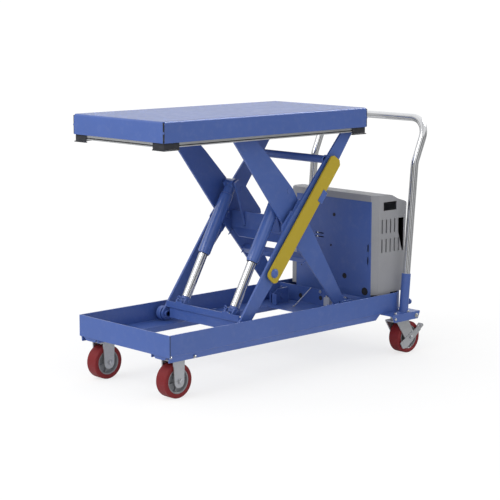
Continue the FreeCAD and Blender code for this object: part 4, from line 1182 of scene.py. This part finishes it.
# (radius, distance across the wheel, corner radius)
TYRE_PROFILE = rounded(mirrored([
    (49.2, -25.5, 1), (51, -27.2, 1), (59.5, -28, 3), (64.5, -27.4, 2.5), (67, -23.5, 3)]),
    seg=6)
HUB_PROFILE = rounded(mirrored([
    (7.1, -29.5, .5), (11.5, -29.5, .6), (12.2, -28.1, .5), (16.5, -28.1, .6),
    (19, -26.9, 1.2), (19.8, -13, 3), (40.5, -12, 4), (44, -24.6, 1.2), (45.5, -26, 1),
    (49, -26.3, .8)]), seg=4)
RIB_HALF = 2.2
# radius, then the rib's height across the wheel at its root and crest
RIB_STATIONS = ((17.5, 11.0, 22.5), (44.0, 11.0, 19.0))
RIB_FACES = ((0, 1, 2, 3), (7, 6, 5, 4), (0, 4, 5, 1), (1, 5, 6, 2), (2, 6, 7, 3), (3, 7, 4, 0))


def hub_rib(name, x, y, angle, facing):
    """Tapered spoke on one face of a hub."""
    c, s = math.cos(angle), math.sin(angle)
    bm = bmesh.new()
    verts = []
    for radius, root, crest in RIB_STATIONS:
        for half, height in ((-RIB_HALF, root), (RIB_HALF, root),
                             (RIB_HALF * 0.7, crest), (-RIB_HALF * 0.7, crest)):
            verts.append(bm.verts.new(point(x + c * radius - s * half, y + facing * height,
                                            WHEEL_Z + s * radius + c * half)))
    for face in RIB_FACES:
        bm.faces.new([verts[i] for i in face])
    bmesh.ops.recalc_face_normals(bm, faces=bm.faces)
    bmesh.ops.bevel(bm, geom=list(bm.edges), offset=0.0007, segments=2, profile=0.5,
                    affect="EDGES")
    return finish_mesh(object_from_bmesh(bm, name, HUB), 40)


def wheel(tag, x, y):
    body = "wheel_" + tag
    middle = point(x, y, WHEEL_Z)
    place(lathe(f"tyre_{tag}", TYRE_PROFILE, middle, (0, 1, 0), TYRE, 112, angle=40,
                closed=True), body, f"wheel_tyre_{tag}")
    place(lathe(f"hub_{tag}", HUB_PROFILE, middle, (0, 1, 0), HUB, 96, angle=36, closed=True),
          body, f"wheel_hub_{tag}")
    for k in range(6):
        for face, facing in (("a", 1), ("b", -1)):
            place(hub_rib(f"rib_{tag}_{k}_{face}", x, y, 2 * math.pi * k / 6 + 0.26, facing),
                  body)


for side, sign in SIDES:
    wheel(f"front_{side}", FRONT_X, sign * FRONT_Y)
    wheel(f"rear_{side}", REAR_X, sign * REAR_Y)
refined("front_caster_forks", 1.3, 3)
refined("rear_caster_plates", 1.0)
# swivel race with its ball cover: (radius, z, corner radius)
RACE = rounded([
    (0, 143.9), (21, 143.9, 1), (27.4, 146.4, 2.5), (28, 152, 1.5), (25.6, 153.6, .6),
    (25.6, 154.6, .4), (28.4, 156, 1), (28.4, 162, 1.5), (26, 164, 1), (0, 164)],
    seg=4, closed=False)
KING_PIN = [(0, 130.0), (7.6, 130.0), (8.2, 130.6), (8.2, 137.0), (0, 137.0)]
for side, sign in SIDES:
    refined(f"swivel_fork_{side}", 1.3, 3)
    refined(f"brake_pedal_{side}", 0.9, 3)
    swivel = f"swivel_{side}"
    foot = point(SWIVEL_X, sign * REAR_Y, 0)
    place(lathe(f"swivel_race_{side}", RACE, foot, (0, 0, 1), GALVANISED), "base")
    place(lathe(f"king_pin_{side}", KING_PIN, foot, (0, 0, 1), STEEL, 6, angle=15), swivel)
    for end_name, facing in (("o", 1), ("i", -1)):
        axis = (0, facing, 0)
        hex_bolt(f"front_axle_{side}_{end_name}",
                 (FRONT_X, sign * FRONT_Y + facing * 36.2, WHEEL_Z), axis, "base", 15.0, 6.5,
                 material=GALVANISED)
        if facing * sign < 0:
            hex_bolt(f"rear_axle_{side}_in", (REAR_X, sign * REAR_Y + facing * 36.2, WHEEL_Z),
                     axis, swivel, 15.0, 6.5, material=GALVANISED)
        else:
            hex_bolt(f"rear_axle_{side}_out", (REAR_X, sign * REAR_Y + facing * 39.8, WHEEL_Z),
                     axis, swivel, 14.0, 6.5, washer=False, material=GALVANISED)
    for x in (56, 128):
        weld(f"weld_bracket_{side}_{x}", (x - 12, sign * 171, 155.4),
             (x + 12, sign * 171, 155.4), "base", 2.0)


# ================================================================== STAGE
STRIPES = {"count": 7.0, "shift": 0.9}  # dark and light bands around the horizon


def floor_material():
    """Matt floor that glows towards the camera and shows the striped room in reflections."""
    material, nodes, surface = new_surface("studio_floor")
    vector = nodes.coords()
    broad = nodes.noise(vector, scale=1.4)
    color = nodes.mix(nodes.remap(broad, span=(0.3, 0.7)), (0.88, 0.88, 0.885),
                      (0.90, 0.90, 0.90))
    nodes.set(surface, {"Base Color": color, "Roughness": 0.85, "Specular IOR Level": 0.0})
    x, y, _ = nodes.add("SeparateXYZ", {0: vector}).outputs
    radius = nodes.math("SQRT", nodes.math("ADD", nodes.multiply(x, x), nodes.multiply(y, y)))
    rays = nodes.add("LightPath").outputs
    glow = nodes.add("Emission", {"Strength": 1.04})
    room = nodes.add("Emission")
    stripes = nodes.wave(nodes.math("ARCTAN2", y, x), **STRIPES)
    nodes.set(room, {"Strength": nodes.remap(stripes, span=(-0.2, 0.8), to=(0.48, 0.14))})
    seen = nodes.multiply(rays["Is Camera Ray"],
                          nodes.remap(radius, span=(0.7, 2.2), to=(0.68, 1.0)))
    shader = nodes.mix_shader(seen, surface.outputs[0], glow.outputs[0])
    mirrored_far = nodes.multiply(rays["Is Glossy Ray"], nodes.remap(radius, span=(0.6, 1.6)))
    shader = nodes.mix_shader(mirrored_far, shader, room.outputs[0])
    nodes.set(nodes.output, {0: shader})
    return material


def build_floor(count=24, cell=6.0):
    """Square grid in metres, centred on the origin."""
    bm = bmesh.new()
    half = count * cell / 2
    grid = [bm.verts.new((i * cell - half, j * cell - half, 0))
            for i in range(count + 1) for j in range(count + 1)]
    for i in range(count):
        for j in range(count):
            a = i * (count + 1) + j
            b = a + count + 1
            bm.faces.new((grid[a], grid[b], grid[b + 1], grid[a + 1]))
    object_from_bmesh(bm, "floor", floor_material())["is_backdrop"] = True


def build_world():
    """Even white light, a white backdrop, and a separate room seen only in reflections."""
    world = bpy.data.worlds.new("studio")
    bpy.context.scene.world = world
    nodes = Nodes(world, "OutputWorld")
    rays = nodes.add("LightPath").outputs
    direction = nodes.add("TexCoord").outputs["Generated"]
    x, y, z = nodes.add("SeparateXYZ", {0: direction}).outputs
    azimuth = nodes.math("ARCTAN2", y, x)
    stripes = nodes.remap(nodes.wave(azimuth, **STRIPES), span=(-0.2, 0.8), to=(0.50, 0.10))
    streaks = nodes.remap(nodes.wave(azimuth, count=3.0, shift=2.2), span=(0.90, 0.97))
    # bright wall beyond the table as the camera sees it
    wall = nodes.math("COSINE", nodes.math("SUBTRACT", azimuth, 0.80))
    wall = nodes.remap(wall, span=(0.62, 0.86))
    # light upper sky, darkened in one band
    band = nodes.math("COSINE", nodes.math("ADD", azimuth, 2.80))
    band = nodes.remap(band, span=(0.965, 0.99), to=(1.0, 0.08))
    sky = nodes.multiply(nodes.remap(z, span=(0.30, 0.50), to=(0.0, 0.85)), band)
    # small strong lamp, high towards +x
    lamp = nodes.add("VectorMath", {0: direction, 1: (0.68, -0.16, 0.716)},
                     operation="DOT_PRODUCT")
    lamp = nodes.remap(lamp.outputs["Value"], span=(0.965, 0.985), to=(0.0, 14.0))
    room = nodes.math("MAXIMUM", stripes, streaks)
    room = nodes.math("MAXIMUM", room, nodes.math("MAXIMUM", wall, sky))
    room = nodes.math("MAXIMUM", room, lamp)
    light, reflection, backdrop = [
        nodes.add("Background", {"Color": (1, 1, 1), "Strength": strength}).outputs[0]
        for strength in (0.92, room, 1.05)]
    shader = nodes.mix_shader(rays["Is Glossy Ray"], light, reflection)
    shader = nodes.mix_shader(rays["Is Camera Ray"], shader, backdrop)
    nodes.set(nodes.output, {0: shader})


def build_key_light():
    light = bpy.data.lights.new("key", "AREA")
    light.energy = 92
    light.shape = "SQUARE"
    light.size = 3.0
    obj = link_object("key", light)
    location, target = Vector((-4.2, 0.6, 3.4)), Vector((0, 0, 0.5))
    obj.location = location
    obj.rotation_euler = (target - location).to_track_quat("-Z", "Y").to_euler()


def build_camera():
    """Camera aimed by yaw from +x, pitch below the horizon and roll, in radians."""
    yaw, pitch, roll = 0.8110919242699507, 0.1620411775464189, -0.0025779801770399666
    forward = Vector((math.cos(pitch) * math.cos(yaw), math.cos(pitch) * math.sin(yaw),
                      -math.sin(pitch)))
    level_right = Vector((math.sin(yaw), -math.cos(yaw), 0))
    level_down = forward.cross(level_right)
    right = level_right * math.cos(roll) + level_down * math.sin(roll)
    down = level_down * math.cos(roll) - level_right * math.sin(roll)
    camera = bpy.data.cameras.new("view_camera")
    camera.sensor_fit = "HORIZONTAL"
    camera.sensor_width = 36.0
    camera.lens = 114.216
    camera.clip_end = 200
    obj = link_object("view_camera", camera)
    turn = Matrix((right, -down, -forward)).transposed()
    location = Vector((-4.4142758, -4.6023311, 1.5073431))
    obj.matrix_world = Matrix.Translation(location) @ turn.to_4x4()
    bpy.context.scene.camera = obj


build_floor()
build_world()
build_key_light()
build_camera()
bpy.context.scene.view_settings.view_transform = "Standard"

def plain(b):
    return [[float(v) for v in p] if hasattr(p, "__len__") else float(p) for p in b]
{"cad": plain(CAD_BOX), "visual": plain(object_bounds())}
